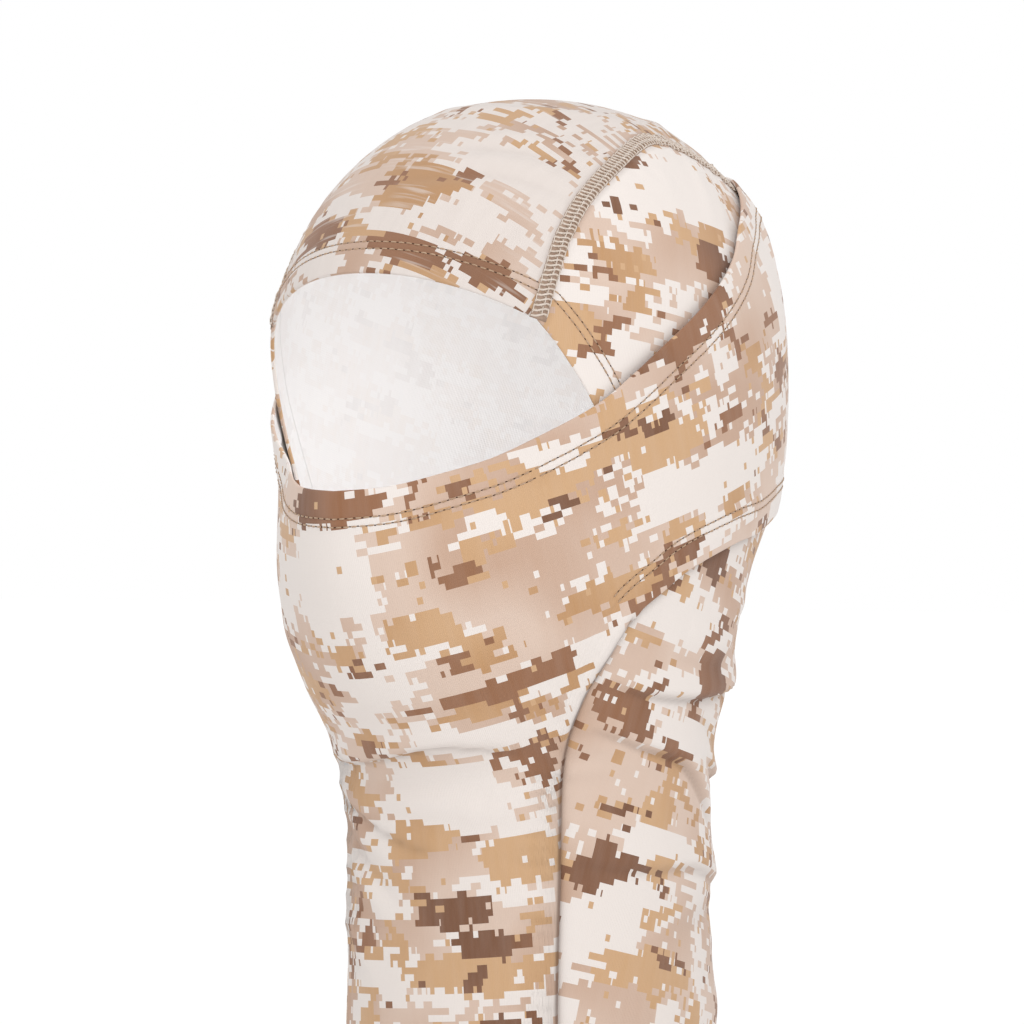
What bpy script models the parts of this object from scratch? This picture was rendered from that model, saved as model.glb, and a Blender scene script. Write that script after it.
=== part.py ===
"""Hinged balaclava in printed stretch jersey: a three-panel hood with a face opening, and an outer
mask panel that wraps the lower face, the throat and the back of the head.

Millimetres in the constants, metres in the mesh.  Face towards -Y, up is +Z, the wearer's left is +X.
The origin is the centre of the head cavity at ear level.  Places on the garment are given as
(azimuth from the front in degrees, height in mm) on one head form."""
import math

import bmesh
import bpy
from mathutils import Vector

MM = 0.001
BOTTOM = -280.0
DOME_START = 20.0
DOME_HEIGHT = 101.0

# head form: height, half breadth, front half length, back half length, roundness of the front
FORM = [
    (20, 82, 106, 110, 2.0),
    (0, 81.5, 106, 109, 1.9),
    (-20, 80, 110, 104, 1.75),
    (-45, 77, 108, 88, 1.8),
    (-70, 73, 101, 79, 1.85),
    (-90, 68.5, 92, 77, 1.9),
    (-105, 65.5, 80, 70, 2.0),
    (-120, 63.5, 70, 68, 2.05),
    (-150, 62.5, 66, 70, 2.1),
    (-200, 63, 66, 71, 2.1),
    (-280, 66, 69, 74, 2.1),
]

# shallow hollow of the form under each eye: depth as a share of the radius, azimuth, height, spreads
HOLLOW = (0.065, 26.0, -2.0, 15.0, 24.0)

# seam between the crown panel and a side panel, brow to the bottom hem
CROWN_SEAM = [
    (38, 39), (41, 54), (45, 69), (52, 82), (64, 93), (82, 102), (102, 105), (120, 100),
    (138, 92), (150, 78), (157, 58), (160, 25), (159, -20), (155, -70), (150, -130), (148, -200),
    (148, -280),
]
CORNER = 9
# edge of the hood's face opening below the crown seam, then the seam to the mask panel
FACE_EDGE = [(38, 39), (43, 29), (50, 12), (58, -12), (64, -38), (62.5, -63)]
FRONT_SEAM = [(62.5, -63), (55.5, -79), (50.5, -92), (46.5, -113), (46, -150), (45, -202), (45, -280)]
# free upper edge of the mask panel
MASK_TOP = [
    (0, -19), (10, -17.5), (20, -12.5), (28, -8), (36, -2), (50, 10), (60, 21), (72, 34),
    (91, 52), (102, 63), (114, 76), (139, 91), (160, 96), (180, 97),
]
# azimuth on the mask's upper edge paired with a place on its lower boundary
MASK_TONGUE = [(4.0 * k, 7.5 * k) for k in range(7)]
MASK_LOWER = [
    (24, 45, -280), (29, 45, -240), (33, 45, -202), (38, 46, -150), (44, 46.5, -113),
    (50, 50.5, -92), (56, 55.5, -79), (64, 62.5, -63), (74, 72, -53), (86, 82, -45),
    (101, 100, -37), (116, 115, -33), (136, 135, -26), (158, 158, -22), (178.8, 178.8, -20),
]
FRONT_SEAM_TOP = 7
# mesh steps between those places
OVER_SPANS = [1, 1, 1, 1, 2, 2, 2, 2, 2]
BACK_SPANS = [2, 3, 3, 3, 3, 3, 2]
FACE_SPANS = [1, 2, 2, 2, 3]
FRONT_SPANS = [1, 1, 1, 2, 2, 2]

BROW_BOW = 5.0
CROWN_CELLS = 10
HEM_WIDTH = 12.0
STITCH_ROWS = (9.6, 12.4)
SEAM_WIDTH = 7.0
RIB_WIDTH = 5.0
THREAD = 0.35
EDGE_GAP = 0.3
SEAM_STEP = 1.5
FRONT_HALF = 34.0
HINGE = (0.0, 60.0, -45.0)

# inner and outer heights of each layer above the head form
HOOD = (-1.0, 0.0)
HOOD_HEM = (-2.4, -1.6)
SEAM_THREAD = (0.3, 0.95)
MASK_HEM = (1.6, 2.25)
MASK = (3.0, 3.8)
MASK_THREAD = 4.35
NECK_RISE = 3.9


def clear_scene():
    for obj in list(bpy.data.objects):
        bpy.data.objects.remove(obj, do_unlink=True)


def smooth(t):
    t = min(max(t, 0.0), 1.0)
    return t * t * (3.0 - 2.0 * t)


def form_row(z):
    """Monotone smooth interpolation of the form table at height z."""
    rows = FORM[::-1]
    z = min(max(z, rows[0][0]), rows[-1][0])
    k = 0
    while k < len(rows) - 2 and z > rows[k + 1][0]:
        k += 1
    h = rows[k + 1][0] - rows[k][0]
    t = (z - rows[k][0]) / h
    out = []
    for c in range(1, 5):
        slopes = []
        for i in (k, k + 1):
            if i == 0 or i == len(rows) - 1:
                slopes.append(0.0)
                continue
            h0 = rows[i][0] - rows[i - 1][0]
            h1 = rows[i + 1][0] - rows[i][0]
            d0 = (rows[i][c] - rows[i - 1][c]) / h0
            d1 = (rows[i + 1][c] - rows[i][c]) / h1
            if d0 * d1 <= 0.0:
                slopes.append(0.0)
            else:
                w0 = 2.0 * h1 + h0
                w1 = h1 + 2.0 * h0
                slopes.append((w0 + w1) / (w0 / d0 + w1 / d1))
        value = rows[k][c] * (1 + 2 * t) * (1 - t) ** 2 + h * slopes[0] * t * (1 - t) ** 2
        value += rows[k + 1][c] * t * t * (3 - 2 * t) + h * slopes[1] * t * t * (t - 1)
        out.append(value)
    return out


def hollow(p):
    """How much smaller the form's radius is at a point, under the eyes."""
    depth, azimuth, height, wide, high = HOLLOW
    a = math.degrees(math.atan2(abs(p.x), -p.y))
    return depth * math.exp(-((a - azimuth) / wide) ** 2 - ((p.z - height) / high) ** 2)


def on_form(p):
    """The point of the head form that p points at, seen from the form's own axis."""
    base = min(p.z, DOME_START)
    d = Vector((p.x, p.y, p.z - base))
    half, front, back, power = form_row(base)
    depth = front if d.y < 0 else back
    if d.z <= 0.0:
        n = power if d.y < 0 else 2.0
        r = (abs(d.x / half) ** n + abs(d.y / depth) ** n) ** (-1.0 / n)
    else:
        n = 2.25 + 0.25 * d.y / max(math.hypot(d.x, d.y), 1e-6)
        flat = math.hypot(d.x / half, d.y / depth)
        r = (flat ** n + (d.z / DOME_HEIGHT) ** n) ** (-1.0 / n)
    axis = Vector((0.0, 0.0, base))
    return axis + d * (r * (1.0 - hollow(axis + d * r)))


def at(place):
    """The point of the head form at an azimuth and a height."""
    azimuth, z = place
    a = math.radians(azimuth)
    out = Vector((math.sin(a), -math.cos(a), 0.0))
    if z <= DOME_START:
        return on_form(Vector((out.x, out.y, z)))
    half, front, back, _ = form_row(DOME_START)
    depth = front if out.y < 0 else back
    n = 2.25 + 0.25 * out.y
    rise = (1.0 - ((z - DOME_START) / DOME_HEIGHT) ** n) ** (1.0 / n)
    r = rise / math.hypot(out.x / half, out.y / depth)
    return on_form(Vector((out.x * r, out.y * r, z)))


def normal(p):
    """Outward normal of the form at a point on it."""
    side = Vector((-p.y, p.x, 0.0)).normalized()
    up = side.cross(p - Vector((0.0, 0.0, min(p.z, DOME_START)))).normalized()
    step = 0.8
    across = on_form(p + side * step) - on_form(p - side * step)
    along = on_form(p - up * step) - on_form(p + up * step)
    n = across.cross(along).normalized()
    return n if n.dot(p - Vector((0.0, 0.0, min(p.z, DOME_START)))) > 0 else -n


def spline(points, per_span):
    """Catmull-Rom through tuples of numbers; per_span is the number of steps in each span."""
    out = []
    last = len(points) - 1
    for i in range(last):
        a = points[max(i - 1, 0)]
        b = points[i]
        c = points[i + 1]
        d = points[min(i + 2, last)]
        steps = per_span[i] if isinstance(per_span, (list, tuple)) else per_span
        for k in range(steps):
            t = k / steps
            out.append(tuple(
                0.5 * (2 * q + (r - p) * t + (2 * p - 5 * q + 4 * r - s) * t * t
                       + (3 * q - p - 3 * r + s) * t ** 3)
                for p, q, r, s in zip(a, b, c, d)))
    out.append(tuple(float(v) for v in points[-1]))
    return out


def mask_top(azimuth):
    """Height of the mask's upper edge at an azimuth."""
    a = abs(azimuth)
    k = 0
    while k < len(MASK_TOP) - 2 and a > MASK_TOP[k + 1][0]:
        k += 1
    (a0, z0), (a1, z1) = MASK_TOP[k], MASK_TOP[k + 1]
    prev = MASK_TOP[max(k - 1, 0)]
    following = MASK_TOP[min(k + 2, len(MASK_TOP) - 1)]
    m0 = (z1 - prev[1]) / (a1 - prev[0]) if k > 0 else 0.0
    m1 = (following[1] - z0) / (following[0] - a0) if k < len(MASK_TOP) - 2 else 0.0
    h = a1 - a0
    t = (a - a0) / h
    value = z0 * (1 + 2 * t) * (1 - t) ** 2 + h * m0 * t * (1 - t) ** 2
    return value + z1 * t * t * (3 - 2 * t) + h * m1 * t * t * (t - 1)


def along(points, distance, side, closed=False):
    """Move a line of form points sideways on the form; side +1 is right of travel seen from outside."""
    out = []
    n = len(points)
    for i, p in enumerate(points):
        ahead = points[(i + 1) % n] if closed or i < n - 1 else p
        behind = points[i - 1] if closed or i > 0 else p
        across = (ahead - behind).cross(normal(p)).normalized() * side
        out.append(on_form(p + across * distance))
    return out


def mirror(points):
    return [Vector((-p.x, p.y, p.z)) for p in points]


def material(name, colour, roughness=0.8):
    mat = bpy.data.materials.new(name)
    mat.use_nodes = True
    shader = mat.node_tree.nodes["Principled BSDF"]
    shader.inputs["Base Color"].default_value = (*colour, 1.0)
    shader.inputs["Roughness"].default_value = roughness
    mat.diffuse_color = (*colour, 1.0)
    return mat


def add_object(name, verts, faces, colour, origin=(0.0, 0.0, 0.0)):
    mesh = bpy.data.meshes.new(name)
    o = Vector(origin)
    mesh.from_pydata([tuple((v - o) * MM) for v in verts], [], faces)
    bm = bmesh.new()
    bm.from_mesh(mesh)
    bmesh.ops.triangulate(bm, faces=bm.faces)
    bmesh.ops.recalc_face_normals(bm, faces=bm.faces)
    bm.to_mesh(mesh)
    bm.free()
    obj = bpy.data.objects.new(name, mesh)
    obj.location = o * MM
    bpy.context.scene.collection.objects.link(obj)
    mesh.materials.append(material("mat_" + name, colour))
    return obj


def sheet(name, grid, layer, colour, closed=False, rise=None, origin=(0.0, 0.0, 0.0)):
    """A cloth layer: a grid of form points, each row one station, thickened between two heights."""
    rows = len(grid)
    cols = len(grid[0])
    verts = []
    for height in layer:
        for row in grid:
            for p in row:
                lift = height - (rise(p) if rise else 0.0)
                verts.append(p + normal(p) * lift)
    half = rows * cols
    faces = []
    last = rows if closed else rows - 1
    for i in range(last):
        j = (i + 1) % rows
        for c in range(cols - 1):
            quad = (i * cols + c, i * cols + c + 1, j * cols + c + 1, j * cols + c)
            faces.append(quad)
            faces.append(tuple(half + k for k in reversed(quad)))
        for c in (0, cols - 1):
            a = i * cols + c
            b = j * cols + c
            faces.append((a, b, b + half, a + half) if c == 0 else (b, a, a + half, b + half))
    if not closed:
        for i in (0, rows - 1):
            for c in range(cols - 1):
                a = i * cols + c
                b = a + 1
                faces.append((b, a, a + half, b + half) if i == 0 else (a, b, b + half, a + half))
    return add_object(name, verts, faces, colour, origin)


def strip(name, line, first, last, layer, colour, side=1.0, cells=1, closed=False, rise=None,
          origin=(0.0, 0.0, 0.0)):
    """A long cloth strip between two distances beside a line of form points."""
    lines = [
        along(line, first + (last - first) * c / cells, side, closed) for c in range(cells + 1)
    ]
    grid = [[edge[i] for edge in lines] for i in range(len(line))]
    return sheet(name, grid, layer, colour, closed, rise, origin)


def thread(name, line, distance, height, colour, side=1.0, closed=False, rise=None,
           origin=(0.0, 0.0, 0.0)):
    """One row of stitching: a square section of thread beside a line of form points."""
    layer = (height, height + 2.0 * THREAD)
    return strip(name, line, distance - THREAD, distance + THREAD, layer, colour, side, 1, closed,
                 rise, origin)


def neck_rise(p):
    """How far the mask panel has come down onto the level of the hood at a point."""
    if p.y > 0.0 and p.z > -80.0:
        return 0.0
    return NECK_RISE * smooth((-68.0 - p.z) / 42.0)


def seam_step(p):
    """Negative where a row of stitching climbs over the first or last run of a crown seam."""
    first, second = (CROWN_SEAM[0], CROWN_SEAM[1]) if p.z > BOTTOM + 60.0 else CROWN_SEAM[-2:]
    start = at(first)
    run = at(second) - start
    rel = Vector((abs(p.x), p.y, p.z)) - start
    reach = (rel - run * (rel.dot(run) / run.dot(run))).length
    return -SEAM_STEP * smooth((11.0 - reach) / 5.0)


def coons(top, bottom, front, back):
    """Fill four boundary lines of (azimuth, height) places; top and bottom run front to back."""
    grid = []
    nu = len(top) - 1
    nv = len(front) - 1
    for i in range(nu + 1):
        u = i / nu
        row = []
        for j in range(nv + 1):
            v = j / nv
            place = []
            for c in (0, 1):
                ruled = (1 - v) * top[i][c] + v * bottom[i][c]
                ruled += (1 - u) * front[j][c] + u * back[j][c]
                corner = (1 - u) * (1 - v) * top[0][c] + u * (1 - v) * top[-1][c]
                corner += (1 - u) * v * bottom[0][c] + u * v * bottom[-1][c]
                place.append(ruled - corner)
            row.append(at(place))
        grid.append(row)
    return grid


def side_grid():
    """Left side panel: crown seam, face opening, front seam, bottom hem."""
    top, back = seam_places()
    front = spline(FACE_EDGE, FACE_SPANS)[:-1] + spline(FRONT_SEAM, FRONT_SPANS)
    bottom = [
        (FRONT_SEAM[-1][0] + (CROWN_SEAM[-1][0] - FRONT_SEAM[-1][0]) * i / (len(top) - 1), BOTTOM)
        for i in range(len(top))
    ]
    grid = coons(top, bottom, front, back)
    grid[0] = along(grid[0], EDGE_GAP, -1.0)
    grid[-1] = along(grid[-1], EDGE_GAP, 1.0)
    upper = along([row[0] for row in grid], EDGE_GAP, 1.0)
    for row, p in zip(grid, upper):
        row[0] = p
    for row in grid:
        row[-1].z = BOTTOM
    return grid


def crown_grid(cells):
    """Crown panel: one strip from the brow over the head to the bottom hem at the nape."""
    seam = seam_line()
    edge = along(seam, EDGE_GAP, -1.0)
    grid = []
    for i, p in enumerate(edge):
        row = []
        bow = math.radians(BROW_BOW) * max(0.0, 1.0 - i / 6.0)
        for c in range(cells + 1):
            s = 2.0 * c / cells - 1.0
            q = Vector((p.x * s, p.y, p.z))
            turn = bow * (1.0 - s * s)
            rel_y = q.y
            rel_z = q.z - DOME_START
            if turn > 0.0:
                q.y = rel_y * math.cos(turn) + rel_z * math.sin(turn)
                q.z = DOME_START - rel_y * math.sin(turn) + rel_z * math.cos(turn)
            row.append(on_form(q))
        grid.append(row)
    for p in grid[-1]:
        p.z = BOTTOM
    return grid


def seam_places():
    """The crown seam in its two runs, over the head and down the back."""
    line = spline(CROWN_SEAM, OVER_SPANS + BACK_SPANS)
    turn = sum(OVER_SPANS)
    return line[:turn + 1], line[turn:]


def seam_line():
    over, back = seam_places()
    return [at(p) for p in over[:-1] + back]


def mask_half():
    """Pairs of places, upper edge and lower boundary, from the centre front to the centre back."""
    pairs = [((a, mask_top(a)), (b, BOTTOM)) for a, b in MASK_TONGUE[:-1]]
    spans = [1, 1, 1, 1, 1, 1, 1, 1, 1, 2, 2, 2, 3, 3]
    for a, b, z in spline(MASK_LOWER, spans):
        pairs.append(((a, mask_top(a)), (b, z)))
    return pairs


def mask_grid(cells):
    half = mask_half()
    grid = []
    for (a0, z0), (a1, z1) in half:
        grid.append([
            at((a0 + (a1 - a0) * c / cells, z0 + (z1 - z0) * c / cells)) for c in range(cells + 1)
        ])
    left = [mirror(row) for row in grid[:0:-1]]
    return left + grid


def symmetric(places):
    """Form points of a left-hand line from its start on the centre plane, both sides."""
    pts = [at(p) for p in places]
    return mirror(pts[:0:-1]) + pts


CLOTH = (0.68, 0.55, 0.45)
CLOTH_LIGHT = (0.76, 0.68, 0.60)
CLOTH_DARK = (0.42, 0.29, 0.20)
THREAD_COLOUR = (0.46, 0.37, 0.30)


def build_hood():
    crown = crown_grid(CROWN_CELLS)
    sheet("crown_panel", crown, HOOD, CLOTH_LIGHT)
    left = side_grid()
    sheet("side_panel_left", left, HOOD, CLOTH)
    sheet("side_panel_right", [mirror(row) for row in left], HOOD, CLOTH)

    brow = crown[0][CROWN_CELLS // 2:]
    face = [at(p) for p in spline(FACE_EDGE, FACE_SPANS)]
    half = brow[:-1] + face[:-1]
    opening = mirror(half[:0:-1]) + half
    strip("face_opening_hem", opening, 0.4, HEM_WIDTH, HOOD_HEM, CLOTH_DARK, -1.0)
    for name, distance in zip(("inner", "outer"), STITCH_ROWS):
        thread("face_stitch_" + name, opening, distance, SEAM_THREAD[0], THREAD_COLOUR, -1.0,
               rise=seam_step)

    ring = [at((360.0 * i / 44 - 180.0, BOTTOM)) for i in range(44)]
    strip("bottom_hem", ring, 0.4, HEM_WIDTH, HOOD_HEM, CLOTH_DARK, -1.0, 1, True)
    for name, distance in zip(("lower", "upper"), STITCH_ROWS):
        thread("bottom_stitch_" + name, ring, distance, SEAM_THREAD[0], THREAD_COLOUR, -1.0, True,
               rise=seam_step)

    seam = seam_line()
    seam[-1].z = BOTTOM
    for name, line, side in (("left", seam, 1.0), ("right", mirror(seam), -1.0)):
        strip("crown_seam_" + name, line, -0.5 * SEAM_WIDTH, 0.5 * SEAM_WIDTH, SEAM_THREAD,
              THREAD_COLOUR, side, 2)

    rib = [at(p) for p in spline(FRONT_SEAM, [2, 2, 2, 3, 3, 4])]
    rib = [p for p in rib if BOTTOM + HEM_WIDTH + 1.5 < p.z < -66.0]
    for name, line, side in (("left", rib, 1.0), ("right", mirror(rib), -1.0)):
        strip("front_seam_" + name, line, -0.5 * RIB_WIDTH, 0.5 * RIB_WIDTH, HOOD_HEM,
              THREAD_COLOUR, side)


def build_mask():
    grid = mask_grid(10)
    sheet("mask_panel", grid, MASK, CLOTH, rise=neck_rise)

    edge = [mask_top_point(a) for a in top_azimuths(FRONT_HALF)]
    front = mirror(edge[:0:-1]) + edge
    strip("mask_hem_front", front, 0.4, HEM_WIDTH, MASK_HEM, CLOTH_DARK, 1.0, origin=HINGE)
    rear_half = [mask_top_point(a) for a in rear_azimuths(FRONT_HALF + 0.6)]
    rear = rear_half + mirror(rear_half[-2::-1])
    strip("mask_hem_rear", rear, 0.4, HEM_WIDTH, MASK_HEM, CLOTH_DARK, 1.0)
    for name, distance in zip(("upper", "lower"), STITCH_ROWS):
        thread("mask_stitch_front_" + name, front, distance, MASK_THREAD, THREAD_COLOUR, 1.0,
               origin=HINGE)
        thread("mask_stitch_rear_" + name, rear, distance, MASK_THREAD, THREAD_COLOUR, 1.0)

    spans = [1, 1, 2, 2, 2, 3, 3]
    lower = [(b, z) for a, b, z in spline(MASK_LOWER[FRONT_SEAM_TOP:], spans)]
    lower = lower[:-1] + [(180.0, lower[-1][1])]
    left = [at(p) for p in lower]
    band = left + mirror(left[-2::-1])
    strip("band_lower_hem", band, 0.4, HEM_WIDTH, MASK_HEM, CLOTH_DARK, -1.0)
    for name, distance in zip(("lower", "upper"), STITCH_ROWS):
        thread("band_stitch_" + name, band, distance, MASK_THREAD, THREAD_COLOUR, -1.0)

    top = mask_top(180.0) - HEM_WIDTH - 2.0
    low = lower[-1][1] + HEM_WIDTH + 2.0
    back = [at((180.0, top + (low - top) * i / 9)) for i in range(10)]
    strip("mask_back_seam", back, -0.5 * RIB_WIDTH, 0.5 * RIB_WIDTH, MASK_HEM, THREAD_COLOUR, 1.0)


def mask_top_point(azimuth):
    return at((azimuth, mask_top(azimuth)))


def top_azimuths(end):
    return [end * i / 5 for i in range(6)]


def rear_azimuths(start):
    return [start + (180.0 - start) * i / 16 for i in range(17)]


clear_scene()
build_hood()
build_mask()
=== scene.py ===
"""Looks of the hinged balaclava: printed stretch jersey on the shape it has when worn.

Garment places are (azimuth from the front in degrees, height in mm) on one head form: that of the
CAD solids, with the neck drawn 2 to 3 mm further back.  Millimetres inside, metres in the meshes."""

import math

import bpy
import numpy as np
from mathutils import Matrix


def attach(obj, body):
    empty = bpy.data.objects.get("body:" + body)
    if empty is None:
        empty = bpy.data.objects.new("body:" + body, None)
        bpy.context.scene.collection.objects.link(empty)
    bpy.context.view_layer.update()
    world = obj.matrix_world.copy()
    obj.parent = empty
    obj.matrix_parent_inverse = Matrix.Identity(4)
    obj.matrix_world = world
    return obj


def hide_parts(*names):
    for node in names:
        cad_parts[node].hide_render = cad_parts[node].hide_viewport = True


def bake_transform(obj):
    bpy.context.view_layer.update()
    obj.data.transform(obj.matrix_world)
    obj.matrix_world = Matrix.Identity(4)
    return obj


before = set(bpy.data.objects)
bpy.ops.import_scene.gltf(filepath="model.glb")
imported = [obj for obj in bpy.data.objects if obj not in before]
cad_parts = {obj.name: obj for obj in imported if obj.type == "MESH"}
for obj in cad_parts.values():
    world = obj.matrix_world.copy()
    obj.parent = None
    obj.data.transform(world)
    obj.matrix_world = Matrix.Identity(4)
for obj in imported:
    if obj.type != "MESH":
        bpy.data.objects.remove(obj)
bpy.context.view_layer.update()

MM = 0.001
BOTTOM = -280.0
DOME_START = 20.0
DOME_HEIGHT = 101.0
FORM = np.array([
    (20, 82, 106, 110, 2.0), (0, 81.5, 106, 109, 1.9), (-20, 80, 110, 104, 1.75),
    (-45, 77, 108, 88, 1.8), (-70, 73, 101, 79, 1.85), (-90, 68.5, 92, 77, 1.9),
    (-105, 65.5, 78, 71, 2.0), (-120, 63.5, 67, 70, 2.05), (-150, 62.5, 63, 73, 2.1),
    (-200, 63, 63.5, 74, 2.1), (-280, 66, 67, 76.5, 2.1),
], float)[::-1]
CROWN_SEAM = [
    (38, 39), (41, 54), (45, 69), (52, 82), (64, 93), (82, 102), (102, 105), (120, 100),
    (138, 92), (150, 78), (157, 58), (160, 25), (159, -20), (155, -70), (150, -130), (148, -200),
    (148, -280),
]
# places of CROWN_SEAM: where the brow's bow has died out, and where the seam turns down the nape
BOW_END = 5
CORNER = 9
SPLINE_STEPS = 24
# shallow hollow of the form under each eye: depth as a share of the radius, azimuth, height, spreads
HOLLOW = (0.065, 26.0, -2.0, 15.0, 24.0)
FACE_EDGE = [(38, 39), (43, 29), (50, 12), (58, -12), (64, -38), (62.5, -63)]
FRONT_SEAM = [(62.5, -63), (55.5, -79), (50.5, -92), (46.5, -113), (46, -150), (45, -202), (45, -280)]
MASK_TOP = [
    (0, -19), (10, -17.5), (20, -12.5), (28, -8), (36, -2), (50, 10), (60, 21), (72, 34),
    (91, 52), (102, 63), (114, 76), (139, 91), (160, 96), (180, 97),
]
MASK_LOWER = [
    (24, 45, -280), (29, 45, -240), (33, 45, -202), (38, 46, -150), (44, 46.5, -113),
    (50, 50.5, -92), (56, 55.5, -79), (64, 62.5, -63), (74, 72, -53), (86, 82, -45),
    (101, 100, -37), (116, 115, -33), (136, 135, -26), (158, 158, -22), (180, 180, -20),
]
BROW_BOW = 5.0
# all in mm: the hems' width, where their thick part ends and its rise, the distances of their two
# rows of stitching from the edge, the cloth's thickness and the radius of its turned edges
HEM_WIDTH = 12.5
HEM_END = 12.4
HEM_RISE = 0.32
STITCH_ROWS = (9.4, 12.2)
CLOTH = 0.65
FOLD = 0.7
# the mask's outer face over the form, and the heights between which it sinks to the hood's level
MASK_LIFT = 2.3
MASK_SINKS = (-66.0, -106.0)
# coverstitch: its pitch, the thread's radius, and for the thread and for the dark tube of painted shade
# in the hole between two threads the start along a stitch, the length and the height of the arch
STITCH = 3.0
STITCH_RADIUS = 0.29
THREAD_AND_HOLE_SHADE = ((0.0, 2.1, 0.30), (2.06, 0.96, 0.04))
# flatlock: the pitch of its rungs, its half width, its crown, the (start, lean) of its two lanes of
# rungs as shares of a pitch, its needle rows and the radius of their thread
RUNG = 1.9
FLATLOCK_HALF = 3.0
FLATLOCK_CROWN = 0.34
LANES = ((0.0, 0.45), (0.5, -0.3))
NEEDLE_ROWS = (-2.65, 0.5, 2.65)
NEEDLE_RADIUS = 0.2
# overlocked rib: half width and pitch of its thread, which is as thick as the needle thread
RIB_HALF = 2.4
RIB_STEP = 2.2
# spacing of the panels' grids
CELL = 1.75
WIDE_CELL = 2.38
# azimuth where the front of the mask's hem ends, and a mean radius for first guesses
FRONT_HALF = 34.0
MEAN_RADIUS = 72.0
# the mask's lower rear hem starts near this place, and its back seam runs between these heights,
# the first one counted from the mask's upper edge
BAND_START = (62.5, -63.0)
BACK_SEAM = (-14.5, -5.5)
# half a gap between panels that meet at a seam, and the crown's width over the top, in mm
GAP = 0.25
CROWN_WIDTH = 172
# the studio; the camera aims this far to the right of the origin and above it, in metres
LENS = 167.3
CAMERA_AZIMUTH = 36.0
CAMERA_DISTANCE = 1.7
AIM = (-0.00535, -0.026)
LIGHT_DISTANCE = 1.6
WHITE = (1.0, 1.0, 1.0, 1.0)
FLOOR_GREY = (0.92, 0.92, 0.92, 1.0)


# ---------------------------------------------------------------- head form
def cubic(t, h, a, b, slope_a, slope_b):
    """The cubic over a step h that has these two values and slopes at its ends."""
    out = a * (1 + 2 * t) * (1 - t) ** 2 + h * slope_a * t * (1 - t) ** 2
    return out + b * t * t * (3 - 2 * t) + h * slope_b * t * t * (t - 1)


def monotone_table(column):
    """One column of FORM on an even fine grid of heights, without overshoot."""
    z, v = FORM[:, 0], FORM[:, column]
    h = np.diff(z)
    d = np.diff(v) / h
    m = np.zeros(len(z))
    for i in range(1, len(z) - 1):
        if d[i - 1] * d[i] > 0:
            w0, w1 = 2 * h[i] + h[i - 1], h[i] + 2 * h[i - 1]
            m[i] = (w0 + w1) / (w0 / d[i - 1] + w1 / d[i])
    fine = np.linspace(z[0], z[-1], 1201)
    k = np.clip(np.searchsorted(z, fine) - 1, 0, len(h) - 1)
    return fine, cubic((fine - z[k]) / h[k], h[k], v[k], v[k + 1], m[k], m[k + 1])


TABLES = [monotone_table(c) for c in range(1, 5)]


def form_row(z):
    return [np.interp(z, fine, values) for fine, values in TABLES]


def smooth(t):
    t = np.clip(t, 0.0, 1.0)
    return t * t * (3.0 - 2.0 * t)


def azimuth_of(p):
    return np.degrees(np.arctan2(np.abs(p[..., 0]), -p[..., 1]))


def hollow(p):
    depth, azimuth, height, wide, high = HOLLOW
    across, up = (azimuth_of(p) - azimuth) / wide, (p[..., 2] - height) / high
    return depth * np.exp(-across ** 2 - up ** 2)


def on_form(p):
    """The point of the form that p points at, seen from the form's own axis."""
    base = np.minimum(p[..., 2], DOME_START)
    x, y, z = p[..., 0], p[..., 1], p[..., 2] - base
    half, front, back, power = form_row(base)
    depth = np.where(y < 0, front, back)
    n = np.where(y < 0, power, 2.0)
    low = (np.abs(x / half) ** n + np.abs(y / depth) ** n + 1e-12) ** (-1.0 / n)
    n = 2.25 + 0.25 * y / np.maximum(np.hypot(x, y), 1e-6)
    flat = np.hypot(x / half, y / depth)
    top = (flat ** n + (z / DOME_HEIGHT) ** n + 1e-12) ** (-1.0 / n)
    r = np.where(z > 0, top, low)
    r = r * (1.0 - hollow(np.stack([x * r, y * r, base + z * r], -1)))
    return np.stack([x * r, y * r, base + z * r], -1)


def at(azimuth, z):
    """Form points at azimuths and heights."""
    a = np.radians(azimuth)
    x, y = np.sin(a), -np.cos(a)
    z = np.asarray(z, float) + 0.0 * x
    half, front, back, _ = form_row(np.minimum(z, DOME_START))
    n = 2.25 + 0.25 * y
    h = np.clip((z - DOME_START) / DOME_HEIGHT, 0.0, 0.9999)
    r = (1 - h ** n) ** (1 / n) / np.hypot(x / half, y / np.where(y < 0, front, back))
    return on_form(np.stack([x * r, y * r, z], -1))


def unit(v):
    return v / np.maximum(np.linalg.norm(v, axis=-1, keepdims=True), 1e-9)


def normal(p):
    """Outward normals of the form at points on it."""
    spoke = p - np.stack([0 * p[..., 0], 0 * p[..., 0], np.minimum(p[..., 2], DOME_START)], -1)
    side = unit(np.stack([-p[..., 1], p[..., 0], 0 * p[..., 0]], -1))
    up = unit(np.cross(side, spoke))
    across = on_form(p + side * 0.8) - on_form(p - side * 0.8)
    along = on_form(p - up * 0.8) - on_form(p + up * 0.8)
    n = unit(np.cross(across, along))
    return n * np.sign((n * spoke).sum(-1, keepdims=True))


# ---------------------------------------------------------------- lines and grids
def spline(points):
    """Dense Catmull-Rom through rows of numbers."""
    q = np.array(points, float)
    q = np.vstack([q[:1], q, q[-1:]])
    out = []
    t = np.linspace(0, 1, SPLINE_STEPS, endpoint=False)[:, None]
    for a, b, c, d in zip(q[:-3], q[1:-2], q[2:-1], q[3:]):
        out.append(0.5 * (2 * b + (c - a) * t + (2 * a - 5 * b + 4 * c - d) * t ** 2
                          + (3 * b - a - 3 * c + d) * t ** 3))
    return np.vstack(out + [q[-1:]])


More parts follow.
